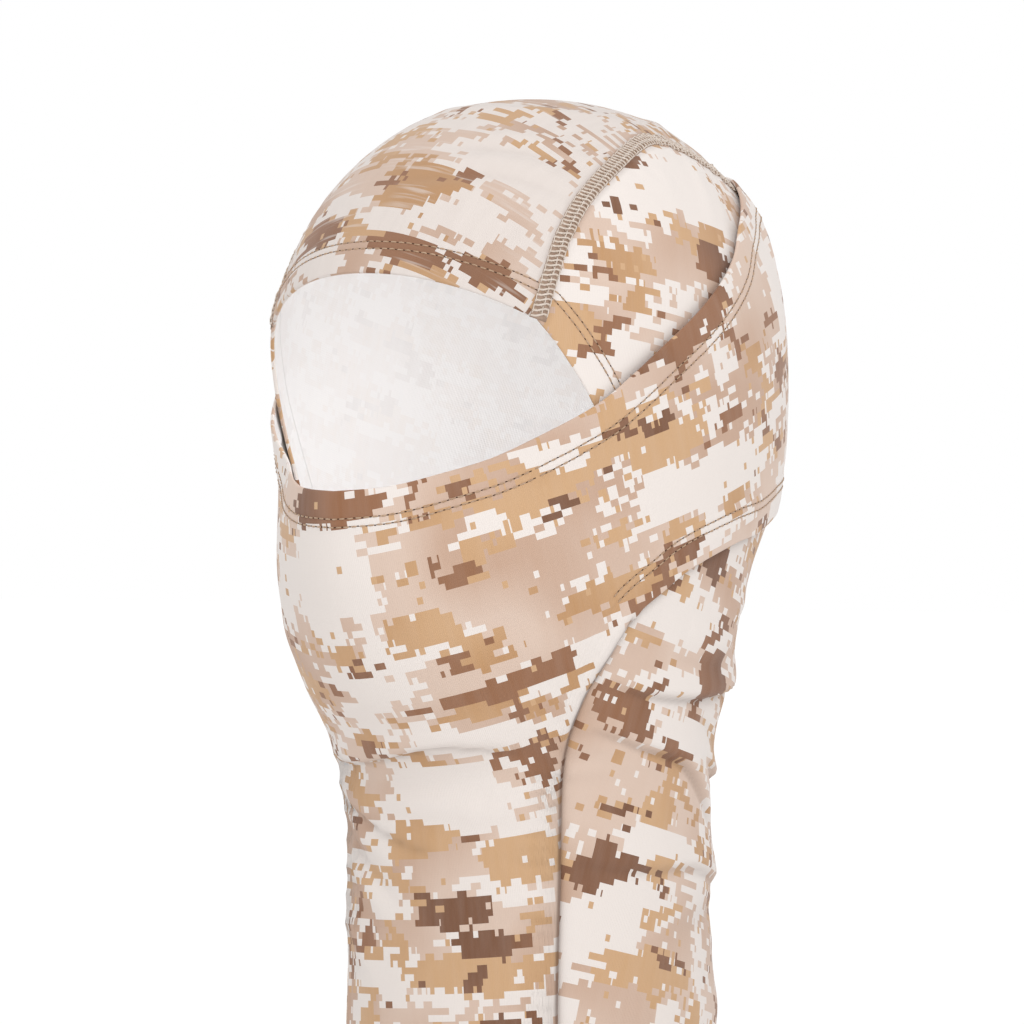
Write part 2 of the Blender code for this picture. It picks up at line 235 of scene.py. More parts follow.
def lengths(points):
    step = np.linalg.norm(np.diff(points, axis=0), axis=1)
    return np.concatenate([[0.0], np.cumsum(step)])


def read_off(values, s, where):
    """Rows of values known at lengths s of a line, read at other lengths."""
    return np.stack([np.interp(where, s, values[:, c]) for c in range(values.shape[1])], -1)


def between(table, i, j):
    """A table's values at fractional rows and columns."""
    i0, j0 = i.astype(int), j.astype(int)
    fi, fj = (i - i0)[..., None], (j - j0)[..., None]
    low = table[i0, j0] * (1 - fj) + table[i0, j0 + 1] * fj
    high = table[i0 + 1, j0] * (1 - fj) + table[i0 + 1, j0 + 1] * fj
    return low * (1 - fi) + high * fi


def resample(values, by, count=None, spacing=None, at_lengths=None):
    """Rows of values spread evenly by the length of the line of points given."""
    s = lengths(by)
    if at_lengths is None:
        count = count or max(2, int(round(s[-1] / spacing)) + 1)
        at_lengths = np.linspace(0, s[-1], count)
    return read_off(values, s, at_lengths)


def places(line):
    return at(line[:, 0], line[:, 1])


def even(line, spacing):
    """A line of garment places, smooth and evenly spaced on the form."""
    dense = spline(line)
    return resample(dense, places(dense), spacing=spacing)


def mirror(p):
    return p * np.array([-1.0, 1.0, 1.0])


def pair(line):
    return line, mirror(line)


def both_sides(line):
    """A left-hand line that starts on the middle plane, continued on the right."""
    return np.vstack([mirror(line)[:0:-1], line])


def travel(line, closed=False):
    if closed:
        return unit(np.roll(line, -1, 0) - np.roll(line, 1, 0))
    return unit(np.gradient(line, axis=0))


def sideways(line, side, closed=False):
    return unit(np.cross(travel(line, closed), normal(line))) * side


def shifted(line, distance, side, closed=False):
    return on_form(line + sideways(line, side, closed) * distance)


seam_places = spline(CROWN_SEAM)
over_run, back_run = np.split(seam_places, [CORNER * SPLINE_STEPS])
over_run = np.vstack([over_run, back_run[:1]])
SEAM = places(seam_places)
SEAM = resample(SEAM, SEAM, spacing=1.0)
FRONT = places(even(FRONT_SEAM, 1.5))
FACE = places(even(FACE_EDGE, 1.5))


def mask_top(azimuth):
    dense = spline(MASK_TOP)
    return np.interp(np.abs(azimuth), dense[:, 0], dense[:, 1])


# ---------------------------------------------------------------- folds and lift of the cloth
# (places along the fold, half width, height): crests are positive, creases negative, and a fourth
# value marks a roll, which drops sharply under its line
FOLDS = {"hood": [
    # crown panel, puckers running off the left crown seam
    ([(46, 76), (20, 84), (-8, 82)], 4.0, 0.9),
    ([(52, 85), (30, 94), (0, 94)], 3.5, 1.0),
    ([(49, 80), (28, 89), (2, 88)], 2.6, -0.8),
    ([(60, 92), (44, 102), (10, 105)], 4.0, 1.1),
    ([(56, 89), (36, 98), (8, 100)], 2.6, -0.9),
    ([(80, 103), (84, 112), (-60, 117)], 4.5, 1.0),
    ([(44, 66), (24, 73), (4, 72)], 4.5, 0.8),
    ([(104, 105), (128, 112), (170, 114)], 4.0, 1.0),
    # side panel by the rear of the crown seam
    ([(110, 101), (104, 88), (98, 74)], 3.5, 0.8),
    ([(122, 98), (114, 84), (106, 70)], 2.6, -0.6),
    ([(88, 101), (86, 90), (84, 80)], 3.0, 0.5),
    # neck, soft rolls round the side and the nape
    ([(58, -84), (72, -89), (98, -91), (124, -89), (150, -82)], 9.0, 3.4, "roll"),
    ([(100, -98), (118, -106), (132, -118)], 4.0, -1.2),
    ([(54, -100), (72, -107), (92, -113), (108, -124), (124, -140)], 8.0, 2.8, "roll"),
    ([(112, -112), (130, -120), (156, -124)], 7.0, 2.4, "roll"),
    ([(50, -146), (72, -150), (104, -151), (134, -158), (158, -158)], 10.0, 2.0, "roll"),
    ([(90, -172), (120, -168), (150, -170)], 7.0, -1.4),
    ([(86, -66), (102, -72), (120, -70)], 5.0, 1.4),
    ([(96, -58), (112, -61), (130, -56)], 3.5, 1.1),
    ([(80, -76), (98, -80), (118, -80)], 3.5, -1.0),
    ([(100, -206), (130, -202), (160, -206)], 9.0, 1.4),
    ([(70, -232), (100, -236), (130, -230)], 10.0, 1.2),
], "mask": [
    # chin and throat
    ([(-45, -112), (-24, -113), (-4, -110), (14, -106), (36, -108)], 9.0, 3.5, "roll"),
    ([(-46, -118), (-24, -124), (0, -127), (22, -128)], 5.0, 2.0),
    ([(-45, -128), (-26, -140), (-6, -150)], 4.0, 1.9),
    ([(-45, -124), (-26, -132), (-6, -141), (8, -144)], 6.0, 1.8, "roll"),
    ([(-45, -142), (-28, -156), (-10, -170)], 4.0, 1.6),
    ([(-45, -136), (-28, -148), (-10, -160)], 3.0, -1.2),
    ([(-45, -160), (-32, -176), (-18, -192)], 5.0, 1.3),
    ([(45, -120), (30, -128), (14, -132)], 4.0, 1.4),
    ([(45, -146), (34, -158), (22, -166)], 5.0, 1.2),
    ([(-20, -215), (0, -222), (24, -218)], 10.0, 1.2),
    # wings
    ([(139, 88), (134, 74), (132, 58)], 3.5, 1.3),
    ([(146, 90), (142, 76), (140, 62)], 2.6, -1.0),
    ([(120, 64), (124, 44), (130, 26)], 8.0, 0.9),
    ([(86, -36), (104, -26), (126, -16)], 5.0, 0.9),
    ([(56, -62), (40, -70), (20, -74)], 8.0, 0.8),
    ([(58, -44), (40, -52), (18, -56)], 9.0, 0.7),
    ([(-58, -44), (-42, -60), (-26, -74)], 7.0, 0.9),
]}
# large areas of the print: (layer, azimuth, height, half width, half height); no_ keeps a layer away
MASK_PRINT = [
    # under the nose and along the upper hem
    ("brown", 0, -25, 20, 7), ("pink", 25, -15, 12, 5), ("pink", 40, 0, 18, 5),
    ("no_brown", 35, -10, 16, 8), ("ochre", 35, -20, 22, 6),
    # wing
    ("brown", 65, 25, 14, 8), ("brown", 80, 40, 15, 8), ("ochre", 65, -5, 18, 7),
    ("pink", 110, 50, 16, 14), ("brown", 120, 25, 6, 9), ("no_print", 85, -15, 22, 8),
    ("no_print", 125, 55, 10, 15), ("brown", 75, -40, 12, 6),
    # cheek
    ("pink", 30, -50, 34, 12), ("no_print", -5, -50, 16, 12), ("ochre", 55, -55, 18, 5),
    ("ochre", 15, -65, 12, 5), ("no_brown", 40, -50, 26, 12), ("pink", 35, -70, 25, 6),
    # chin
    ("brown", 10, -95, 12, 4), ("brown", 25, -90, 12, 4), ("brown", 40, -80, 12, 4),
    ("no_print", 20, -105, 16, 5), ("brown", 40, -115, 8, 8), ("no_print", 10, -125, 18, 8),
    # throat and front of the neck
    ("ochre", -5, -140, 14, 6), ("ochre", 35, -145, 12, 6), ("brown", 10, -165, 14, 6),
    ("brown", 25, -175, 12, 4), ("ochre", 15, -185, 24, 7),
]
SIDE_PRINT = [
    # temple, between the seam and the mask's edge
    ("ochre", 60, 60, 10, 5), ("pink", 75, 60, 18, 6), ("brown", 90, 60, 6, 6),
    ("ochre", 95, 70, 8, 6), ("brown", 75, 95, 8, 6), ("ochre", 45, 35, 11, 7),
    ("no_print", 95, 85, 20, 10),
    # under the mask's rear edge
    ("brown", 95, -45, 10, 8), ("no_print", 80, -65, 12, 6), ("brown", 60, -95, 15, 9),
    ("brown", 100, -85, 10, 7), ("no_print", 95, -105, 16, 4),
    # side of the neck
    ("pink", 70, -120, 28, 13), ("ochre", 80, -130, 8, 5), ("brown", 60, -150, 13, 7),
    ("no_print", 60, -170, 12, 10), ("ochre", 75, -185, 18, 7),
]
CROWN_PRINT = [
    # brow
    ("brown", 10, 65, 16, 5), ("brown", 30, 55, 14, 4), ("brown", -15, 70, 14, 6),
    ("no_print", 5, 75, 12, 4),
    # forehead and top
    ("ochre", 10, 85, 16, 8), ("ochre", -5, 75, 12, 6), ("pink", -5, 95, 18, 10),
    ("no_print", 20, 75, 12, 4), ("no_print", 35, 90, 16, 6), ("no_brown", 35, 70, 16, 9),
    ("no_ochre", 35, 70, 16, 9),
]
RIPPLES = np.random.default_rng(7)
RIPPLE_WAVES = RIPPLES.normal(size=(14, 3)) * np.array([1.0, 1.0, 1.4])
RIPPLE_WAVES = unit(RIPPLE_WAVES) * RIPPLES.uniform(0.09, 0.2, (14, 1))
RIPPLE_PHASES = RIPPLES.uniform(0, 6.28, 14)


def near_line(p, line, reach):
    """Distance from points to a line and how far along it the nearest point is, in mm."""
    flat = p.reshape(-1, 3)
    distance = np.full(len(flat), reach * 2.0)
    where = np.zeros(len(flat))
    inside = ((flat > line.min(0) - reach) & (flat < line.max(0) + reach)).all(1)
    inside = np.where(inside)[0]
    s = lengths(line)
    for part in np.array_split(inside, max(1, len(inside) // 4000)):
        q = flat[part]
        nearest = ((q[:, None] - line[None]) ** 2).sum(2).argmin(1)
        nearest = np.clip(nearest, 1, len(line) - 2)
        distance[part] = 1e9
        for k in (nearest - 1, nearest):
            run = line[k + 1] - line[k]
            t = np.clip(((q - line[k]) * run).sum(1) / (run * run).sum(1), 0, 1)
            d = np.linalg.norm(q - line[k] - run * t[:, None], axis=1)
            better = d < distance[part]
            distance[part[better]] = d[better]
            where[part[better]] = (s[k] + t * np.linalg.norm(run, axis=1))[better]
    return distance.reshape(p.shape[:-1]), where.reshape(p.shape[:-1])


def fold_places(p, layer):
    """For each fold: distance over its width, positive above the line, taper, height, if it rolls.

    The hood's rolls are repeated on the far side, a little flatter."""
    for line, width, height, *kind in FOLDS[layer]:
        path = places(even(line, 5.0))
        along = lengths(path)
        repeats = 2 if kind and layer == "hood" else 1
        for side, strength in list(zip(pair(path), (1.0, 0.75)))[:repeats]:
            d, s = near_line(p, side, width * 2.6)
            taper = np.sin(np.pi * np.clip(s / along[-1], 0.0, 1.0)) ** 0.7
            above = np.where(p[..., 2] > np.interp(s, along, path[:, 2]), 1.0, -1.0)
            yield d / width * above, taper, height * strength, bool(kind)


def fold_lift(p, layer):
    """Soft folds, and rolls: cloth that bulges above a line and drops sharply under it."""
    out = np.zeros(p.shape[:-1])
    for t, taper, height, rolls in fold_places(p, layer):
        if rolls:
            bulge = smooth((t + 0.16) / 0.36) * np.exp(-((np.maximum(t, 0.25) - 0.25) / 0.85) ** 2)
            out += height * taper * (bulge - 0.3 * np.exp(-((t + 0.2) / 0.25) ** 2))
        else:
            out += height * taper * np.exp(-t ** 2)
    return out


def beside(p, lines, reach, *bumps):
    """Bumps beside some lines, each one (height, distance of its crest, width)."""
    out = np.zeros(p.shape[:-1])
    for line in lines:
        d, _ = near_line(p, line, reach)
        out += sum(height * np.exp(-((d - crest) / width) ** 2) for height, crest, width in bumps)
    return out


def painted_shade(p, layer):
    """Painted shade, 0 to 1: in the front seam and creases, under rolls, and on the hood by the mask's
    hems and the crown seams.
    """
    out = beside(p, pair(FRONT), 10.0, (0.62, 0.0, 0.85), (0.12, 0.0, 3.0))
    for t, taper, height, rolls in fold_places(p, layer):
        if rolls:
            out += 0.10 * height * taper * np.exp(-((t + 0.1) / 0.16) ** 2)
        elif height < 0:
            out += -0.07 * height * taper * np.exp(-(t / 0.55) ** 2)
    if layer == "hood":
        out += beside(p, (TOP_EDGE, BAND), 8.0, (0.24, 0.0, 2.4))
        out += beside(p, pair(SEAM), 10.0, (0.16, 3.2, 0.9))
    return np.clip(out, 0.0, 0.85)


def gathers(p, line, wave, reach, height, seed):
    """Small puckers that run square off a seam and die out away from it."""
    d, s = near_line(p, line, reach * 2.5)
    rng = np.random.default_rng(seed)
    total = lengths(line)[-1]
    knots = np.arange(0, total + wave, wave * 0.5)
    values = rng.normal(size=len(knots)) * 0.6 + np.where(np.arange(len(knots)) % 2, 0.7, -0.7)
    shape = np.interp(s, knots, values)
    ends = smooth(s / 12.0) * smooth((total - s) / 12.0)
    return height * shape * ends * np.exp(-(d / reach) ** 1.5) * smooth(d / 4.0 + 0.2)


def cloth_lift(p, layer):
    """Everything that moves a layer off the smooth form."""
    waves = np.sin(p.reshape(-1, 3) @ RIPPLE_WAVES.T + RIPPLE_PHASES).sum(1).reshape(p.shape[:-1])
    out = fold_lift(p, layer) + 0.06 * waves + hem_relief(p, layer)
    if layer == "hood":
        puckers = ((SEAM, 8.0, 13.0, 0.34, 3), (FRONT[:60], 9.0, 18.0, 0.55, 5))
        out += beside(p, pair(FRONT), 8.0, (-1.3, 0.0, 1.5))
    else:
        puckers = ((FRONT, 10.0, 16.0, 0.5, 8),)
        out += beside(p, pair(FRONT), 8.0, (0.7, 2.6, 2.2), (-0.8, 0.0, 1.1))
    for line, wave, reach, height, seed in puckers:
        for k, one_side in enumerate(pair(line)):
            out += gathers(p, one_side, wave, reach, height, seed + k)
    return out


def mask_height(p):
    """Outer face of the mask panel above the form; it comes down to the hood's level on the neck."""
    high, low = MASK_SINKS
    down = smooth((high - p[..., 2]) / (high - low))
    down = np.where((p[..., 1] > 0) & (p[..., 2] > -80.0), 0.0, down)
    return MASK_LIFT * (1.0 - down)


def surface(p, layer, above=0.0):
    """Form points moved to a layer's outer face, plus a height above it."""
    base = mask_height(p) if layer == "mask" else 0.0
    return p + normal(p) * (base + cloth_lift(p, layer) + above)[..., None]


# ---------------------------------------------------------------- meshes
def in_scene(name, data, location=(0.0, 0.0, 0.0), rotation=(0.0, 0.0, 0.0)):
    obj = bpy.data.objects.new(name, data)
    obj.location = location
    obj.rotation_euler = rotation
    bpy.context.scene.collection.objects.link(obj)
    return obj


def mesh_object(name, verts, faces, materials, face_materials=None, uv=None, shade=None):
    mesh = bpy.data.meshes.new(name)
    mesh.from_pydata((np.asarray(verts) * MM).tolist(), [], [list(f) for f in faces])
    for mat in materials:
        mesh.materials.append(mat)
    if face_materials is not None:
        mesh.polygons.foreach_set("material_index", np.asarray(face_materials, np.int32))
    mesh.polygons.foreach_set("use_smooth", np.full(len(mesh.polygons), True))
    if uv is not None:
        layer = mesh.uv_layers.new(name="cut")
        index = np.zeros(len(mesh.loops), np.int32)
        mesh.loops.foreach_get("vertex_index", index)
        layer.data.foreach_set("uv", (np.asarray(uv)[index] * MM).astype(np.float32).ravel())
    if shade is not None:
        mesh.attributes.new("shade", "FLOAT", "POINT").data.foreach_set("value", shade)
    mesh.validate()
    return in_scene(name, mesh)


def grid_faces(n, m, closed):
    i = np.arange(n if closed else n - 1)
    j = np.arange(m - 1)
    a = (i[:, None] * m + j[None]).ravel()
    b = (((i + 1) % n)[:, None] * m + j[None]).ravel()
    return np.stack([a, a + 1, b + 1, b], 1)


def cloth_object(name, outer, inner, uv, materials, closed=False, shade=None):
    """A thin cloth piece from its two faces, with its rim closed."""
    n, m = outer.shape[:2]
    half = n * m
    verts = np.vstack([outer.reshape(-1, 3), inner.reshape(-1, 3)])
    front = grid_faces(n, m, closed)
    back = front[:, ::-1] + half
    a = outer[1:, :-1] - outer[:-1, :-1]
    b = outer[:-1, 1:] - outer[:-1, :-1]
    facing = (np.cross(b, a) * (outer - inner)[:-1, :-1]).sum() > 0
    down = np.arange(n if closed else n - 1)
    across = np.arange(m - 1)
    edges = [(down * m + c, (down + 1) % n * m + c, c > 0) for c in (0, m - 1)]
    if not closed:
        edges += [(r * m + across, r * m + across + 1, r == 0) for r in (0, n - 1)]
    rim = [np.stack([a, b, b + half, a + half], 1)[:, ::-1 if flip else 1] for a, b, flip in edges]
    rim = np.vstack(rim)
    faces = np.vstack([front, back, rim])
    if not facing:
        faces = faces[:, ::-1]
    slots = np.zeros(len(faces), int)
    slots[len(front):len(front) + len(back)] = min(1, len(materials) - 1)
    if shade is not None:
        shade = np.concatenate([shade.ravel(), 0.0 * shade.ravel()]).astype(np.float32)
    return mesh_object(name, verts, faces, materials, slots, np.vstack([uv.reshape(-1, 2)] * 2),
                       shade=shade)


def tubes(paths, ups, radius, sides=6):
    """Many short tubes at once: paths is (count, points, 3)."""
    count, k = paths.shape[:2]
    tangent = unit(np.gradient(paths, axis=1))
    side = unit(np.cross(tangent, ups))
    up = np.cross(side, tangent)
    angle = np.arange(sides) * 2 * math.pi / sides
    radius = np.broadcast_to(np.asarray(radius, float), (count, k))[..., None, None]
    ring = (side[:, :, None] * np.cos(angle)[None, None, :, None]
            + up[:, :, None] * np.sin(angle)[None, None, :, None]) * radius
    verts = (paths[:, :, None] + ring).reshape(-1, 3)
    j = np.arange(sides)
    one = []
    for i in range(k - 1):
        a, b = i * sides, (i + 1) * sides
        one.append(np.stack([a + j, a + (j + 1) % sides, b + (j + 1) % sides, b + j], 1))
    one = np.vstack(one)
    base = (np.arange(count) * k * sides)[:, None, None]
    faces = (one[None] + base).reshape(-1, 4).tolist()
    for c in range(count):
        first = c * k * sides
        faces.append([first + q for q in reversed(range(sides))])
        faces.append([first + (k - 1) * sides + q for q in range(sides)])
    return verts, faces


def merge(parts, slots):
    """One mesh from several, with the material slot of each one."""
    verts, faces, start = [], [], 0
    for v, f in parts:
        verts.append(v)
        faces += [[q + start for q in face] for face in f]
        start += len(v)
    return np.vstack(verts), faces, np.repeat(slots, [len(f) for _, f in parts])


# ---------------------------------------------------------------- panels
def pick(total, breaks, count):
    """Grid lines of a coarse net, with the lines where the spacing changes among them."""
    marks = sorted(set([0, *breaks, total - 1]))
    out = set(marks)
    for a, b in zip(marks[:-1], marks[1:]):
        steps = max(1, int(round(count * (b - a) / (total - 1))))
        out |= set(np.linspace(a, b, steps + 1).round().astype(int).tolist())
    return np.array(sorted(out))


def corner_weights(corners):
    """Cotangent weights of each triangle's three sides, opposite its corners."""
    out = []
    for k in range(3):
        a = corners[:, (k + 1) % 3] - corners[:, k]
        b = corners[:, (k + 2) % 3] - corners[:, k]
        area = np.abs(a[:, 0] * b[:, 1] - a[:, 1] * b[:, 0])
        out.append(np.clip((a * b).sum(1) / np.maximum(area, 1e-6), 0.03, 8.0))
    return np.stack(out, 1)


def curve_through(s, known, values):
    """Values at every place s along a line, from smooth cubics through the known places."""
    s = s + 1e-6 * np.arange(len(s))
    x = s[known]
    slope = np.gradient(values, x, axis=0)
    k = np.clip(np.searchsorted(x, s, side="right") - 1, 0, len(x) - 2)
    h = (x[k + 1] - x[k])[:, None]
    return cubic((s - x[k])[:, None] / h, h, values[k], values[k + 1], slope[k], slope[k + 1])


def lay_out(points, tris, flat, rounds=90):
    """Flatten a net of triangles from a first guess, keeping each one as rigid as they all allow."""
    p = points[tris]
    one, two = p[:, 1] - p[:, 0], p[:, 2] - p[:, 0]
    reach = np.linalg.norm(one, axis=1)
    x = (one * two).sum(1) / reach
    y = np.sqrt(np.maximum((two * two).sum(1) - x * x, 1e-9))
    first = flat[tris]
    e, f = first[:, 1] - first[:, 0], first[:, 2] - first[:, 0]
    way = np.sign((e[:, 0] * f[:, 1] - e[:, 1] * f[:, 0]).sum())
    corners = np.zeros((len(tris), 3, 2))
    corners[:, 1, 0], corners[:, 2, 0], corners[:, 2, 1] = reach, x, y * way
    weights = corner_weights(corners)
    sides = []
    for k, (a, b) in enumerate(((1, 2), (2, 0), (0, 1))):
        sides.append((tris[:, a], tris[:, b], corners[:, a] - corners[:, b], weights[:, k]))
    system = np.zeros((len(flat), len(flat)))
    for i, j, rest, w in sides:
        for q, r, sign in ((i, i, 1), (j, j, 1), (i, j, -1), (j, i, -1)):
            np.add.at(system, (q, r), sign * w)
    system[0, 0] += 1.0
    solve = np.linalg.inv(system)
    for _ in range(rounds):
        dots = crosses = 0.0
        for i, j, rest, w in sides:
            edge = flat[i] - flat[j]
            dots = dots + w * (rest * edge).sum(1)
            crosses = crosses + w * (rest[:, 0] * edge[:, 1] - rest[:, 1] * edge[:, 0])
        turn = np.arctan2(crosses, dots)
        cos, sin = np.cos(turn), np.sin(turn)
        wanted = np.zeros_like(flat)
        wanted[0] = flat[0]
        for i, j, rest, w in sides:
            pull = np.stack([cos * rest[:, 0] - sin * rest[:, 1], sin * rest[:, 0] + cos * rest[:, 1]], 1)
            pull *= w[:, None]
            np.add.at(wanted, i, pull)
            np.add.at(wanted, j, -pull)
        flat = solve @ wanted
    return flat


def flat_strip(grid, row_breaks, size=(60, 24)):
    """The flat cut of a strip, from a coarse net; at first its rows lie square to its middle."""
    n, m = grid.shape[:2]
    ii = pick(n, row_breaks, size[0])
    jj = pick(m, (), size[1])
    across = np.linalg.norm(np.diff(grid, axis=1), axis=2)
    down = np.concatenate([np.zeros((n, 1)), np.cumsum(across, 1)], 1)
    down -= down[:, m // 2:m // 2 + 1]
    start = np.stack([np.repeat(lengths(grid[:, m // 2])[:, None], m, 1), -down], -1)
    net = np.ix_(ii, jj)
    index = np.arange(len(ii) * len(jj)).reshape(len(ii), len(jj))
    flat = lay_out(grid[net].reshape(-1, 3), two_to_a_cell(index), start[net].reshape(-1, 2))
    flat = flat.reshape(len(ii), len(jj), 2)
    full = np.stack([curve_through(lengths(grid[i]), jj, row) for i, row in zip(ii, flat)])
    return np.stack([curve_through(lengths(grid[:, j]), ii, full[:, j]) for j in range(m)], 1)


def two_to_a_cell(index):
    a, b, c, d = index[:-1, :-1], index[1:, :-1], index[1:, 1:], index[:-1, 1:]
    return np.concatenate([np.stack(t, -1).reshape(-1, 3) for t in ((a, b, c), (a, c, d))])


def flat_wrap(grid, way, step=(4.0, 6.0)):
    """The flat cut of a panel that wraps the head, from a lattice of garment places.

    way says, row by row, on which side of the head the grid is."""
    azimuth = azimuth_of(grid) * way[:, None]
    at_cell = np.stack([azimuth / step[0], grid[..., 2] / step[1]], -1)
    low = np.floor(at_cell.min((0, 1))).astype(int) - 1
    at_cell -= low
    cell = at_cell.astype(int)
    used = np.zeros(cell.max((0, 1)) + 3, bool)
    used[cell[..., 0], cell[..., 1]] = True
    for axis in (0, 1):
        used |= np.roll(used, 1, axis) | np.roll(used, -1, axis)
    corner = np.zeros(used.shape, bool)
    for i, j in ((0, 0), (1, 0), (0, 1), (1, 1)):
        corner |= np.roll(np.roll(used, i, 0), j, 1)
    index = np.where(corner, np.cumsum(corner).reshape(corner.shape) - 1, -1)
    tris = two_to_a_cell(index)
    tris = tris[(tris >= 0).all(1)]
    i, j = np.nonzero(corner)
    a, z = (i + low[0]) * step[0], (j + low[1]) * step[1]
    start = np.stack([np.radians(a) * MEAN_RADIUS, z.astype(float)], -1)
    table = np.zeros(corner.shape + (2,))
    table[i, j] = lay_out(at(a, z), tris, start)
    return between(table, at_cell[..., 0], at_cell[..., 1])


def cut(flat, low, high, tilt, shift):
    """The cut turned so that the way from one grid place to another leans, and moved."""
    way = flat[high] - flat[low]
    a = math.atan2(way[0], way[1]) + math.radians(tilt)
    c, s = math.cos(a), math.sin(a)
    x, y = np.moveaxis(flat - flat[low], -1, 0)
    return np.stack([x * c - y * s + shift[0], x * s + y * c + shift[1]], -1)


def respaced(grid, near, far, spacing):
    """Columns of a dense grid at fixed distances near its two sides and evenly spread between."""
    s = np.array([lengths(row) for row in grid])
    middle = int(round((s[:, -1].max() - near[-1] - far[-1]) / spacing))
    out = []
    for row, t in zip(grid, s):
        scale = min(1.0, t[-1] / (near[-1] + far[-1] + 4.0))
        a, b = near * scale, t[-1] - far[::-1] * scale
        places_on = np.concatenate([a, np.linspace(a[-1], b[0], middle + 1)[1:-1], b])
        out.append(read_off(row, t, places_on))
    return np.array(out)


HEM_STEPS = np.arange(0.0, 15.1, 0.75)
FOLD_TURN = np.linspace(0.0, math.pi, 7)[1:]


def turned_under(base, top, rows, cols):
    """Outer and inner face of a panel whose marked edges roll over to the inside."""
    n = normal(base)
    outer = base + n * top[..., None]
    k = len(FOLD_TURN)
    pad = [(k * rows[0], k * rows[1]), (k * cols[0], k * cols[1])]
    shape = (outer.shape[0] + sum(pad[0]), outer.shape[1] + sum(pad[1]))
    turn = [np.zeros(shape), np.zeros(shape)]
    away = [np.zeros(shape + (3,)), np.zeros(shape + (3,))]
    padded = [np.pad(v, pad + [(0, 0)], mode="edge") for v in (outer, n)]
    for axis, marks in ((0, rows), (1, cols)):
        for end in (0, 1):
            if not marks[end]:
                continue
            swapped = np.moveaxis(padded[0], axis, 0)
            edge, inside = (swapped[0], swapped[k + 1]) if end == 0 else (swapped[-1], swapped[-k - 2])
            up = np.moveaxis(padded[1], axis, 0)[0 if end == 0 else -1]
            out = unit(np.cross(travel(edge + 1e-6 * up), up))
            good = np.linalg.norm(np.gradient(edge, axis=0), axis=1) > 1e-5
            out[~good] = out[good][0 if good[-1] else -1]
            out *= np.sign((out * (edge - inside)).sum(1, keepdims=True))
            rows_at = slice(0, k) if end == 0 else slice(shape[axis] - k, shape[axis])
            angles = FOLD_TURN[::-1] if end == 0 else FOLD_TURN
            np.moveaxis(turn[axis], axis, 0)[rows_at] = angles[:, None]
            np.moveaxis(away[axis], axis, 0)[rows_at] = out[None]
    lower = np.maximum(turn[0], turn[1])[..., None]
    side = sum(away[a] * np.sin(turn[a])[..., None] for a in (0, 1))
    centre = padded[0] - padded[1] * FOLD
    faces = [centre + (padded[1] * np.cos(lower) + side) * r for r in (FOLD, FOLD - CLOTH)]
    return faces[0], faces[1], pad


def grown_uv(uv, pad):
    """The cut grown by what its turned edges take up."""
    out = uv
    for axis in (0, 1):
        out = np.moveaxis(out, axis, 0)
        step = FOLD * FOLD_TURN[:, None, None]
        if pad[axis][0]:
            out = np.concatenate([out[:1] + unit(out[0] - out[1])[None] * step[::-1], out])
        if pad[axis][1]:
            out = np.concatenate([out, out[-1:] + unit(out[-1] - out[-2])[None] * step])
        out = np.moveaxis(out, 0, axis)
    return out


def panel(name, base, layer, uv, materials, rows, cols):
    top = (mask_height(base) if layer == "mask" else 0.0) + cloth_lift(base, layer)
    outer, inner, pad = turned_under(base, top, rows, cols)
    # painted shade for the print, kept in the 'shade' attribute
    shade = np.pad(painted_shade(base, layer), pad, mode="edge")
    return cloth_object(name, outer, inner, grown_uv(uv, pad), materials, shade=shade)


def strip_grid(line, first, last, side, cells, closed=False):
    offsets = np.linspace(first, last, cells + 1)
    return np.stack([shifted(line, d, side, closed) for d in offsets], 1)


def strip_uv(line, offsets):
    return np.stack(np.broadcast_arrays(lengths(line)[:, None], offsets[None]), -1)


def under_strip(name, line, side, layer, closed):
    """A hem's turned allowance: cloth that lies against the back of its panel."""
    base = strip_grid(line, FOLD, HEM_WIDTH, side, 10, closed)
    top = surface(base, layer, -CLOTH - 0.06)
    uv = strip_uv(line, np.linspace(FOLD, HEM_WIDTH, base.shape[1]))
    return cloth_object(name, top, top - normal(base) * CLOTH, uv, [REVERSE], closed)


def ride(piece, body, node):
    """Ride on a body, or, for a piece of the part that bends between the hood and the mask's edge, stay
    unparented with its transform baked; either way in place of a CAD node.
    """
    if body == "bend":
        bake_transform(piece)
    else:
        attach(piece, body)
    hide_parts(node)


# ---------------------------------------------------------------- stitches
def row_frame(line, distance, side, layer, closed):
    """A dense path beside a line on the finished cloth, with its normals."""
    if closed:
        line = np.vstack([line, line[:1]])
    path = shifted(line, distance, side)
    return resample(np.hstack([surface(path, layer), normal(path)]), path, spacing=0.5)


def stitch_row(name, line, distance, side, layer, closed, seed):
    """A row of coverstitch: thread that shows between needle holes, and dark tubes of painted shade in
    the holes.
    """
    path = row_frame(line, distance, side, layer, closed)
    s = lengths(path[:, :3])
    rng = np.random.default_rng(seed)
    count = int((s[-1] - 1.0) / STITCH)
    starts = 0.5 + STITCH * np.arange(count) + rng.uniform(-0.12, 0.12, count)
    parts = []
    for first, run, height in THREAD_AND_HOLE_SHADE:
        t = np.linspace(0, 1, 7)
        where = starts[:, None] + first + run * t[None]
        rows = read_off(path, s, where)
        n = unit(rows[..., 3:])
        arch = height * (1 - np.abs(2 * t - 1) ** 3) - 0.12
        sway = rng.normal(0, 0.05, (count, 1)) * np.sin(np.pi * t)[None]
        across = unit(np.cross(unit(np.gradient(rows[..., :3], axis=1)), n))
        points = rows[..., :3] + n * arch[None, :, None] + across * sway[..., None]
        thick = STITCH_RADIUS * (0.75 + 0.25 * np.sin(np.pi * t))
        parts.append(tubes(points, n, thick[None]))
    verts, faces, slots = merge(parts, (0, 1))
    return mesh_object(name, verts, faces, [THREAD_EDGE, HOLE_SHADE], slots)


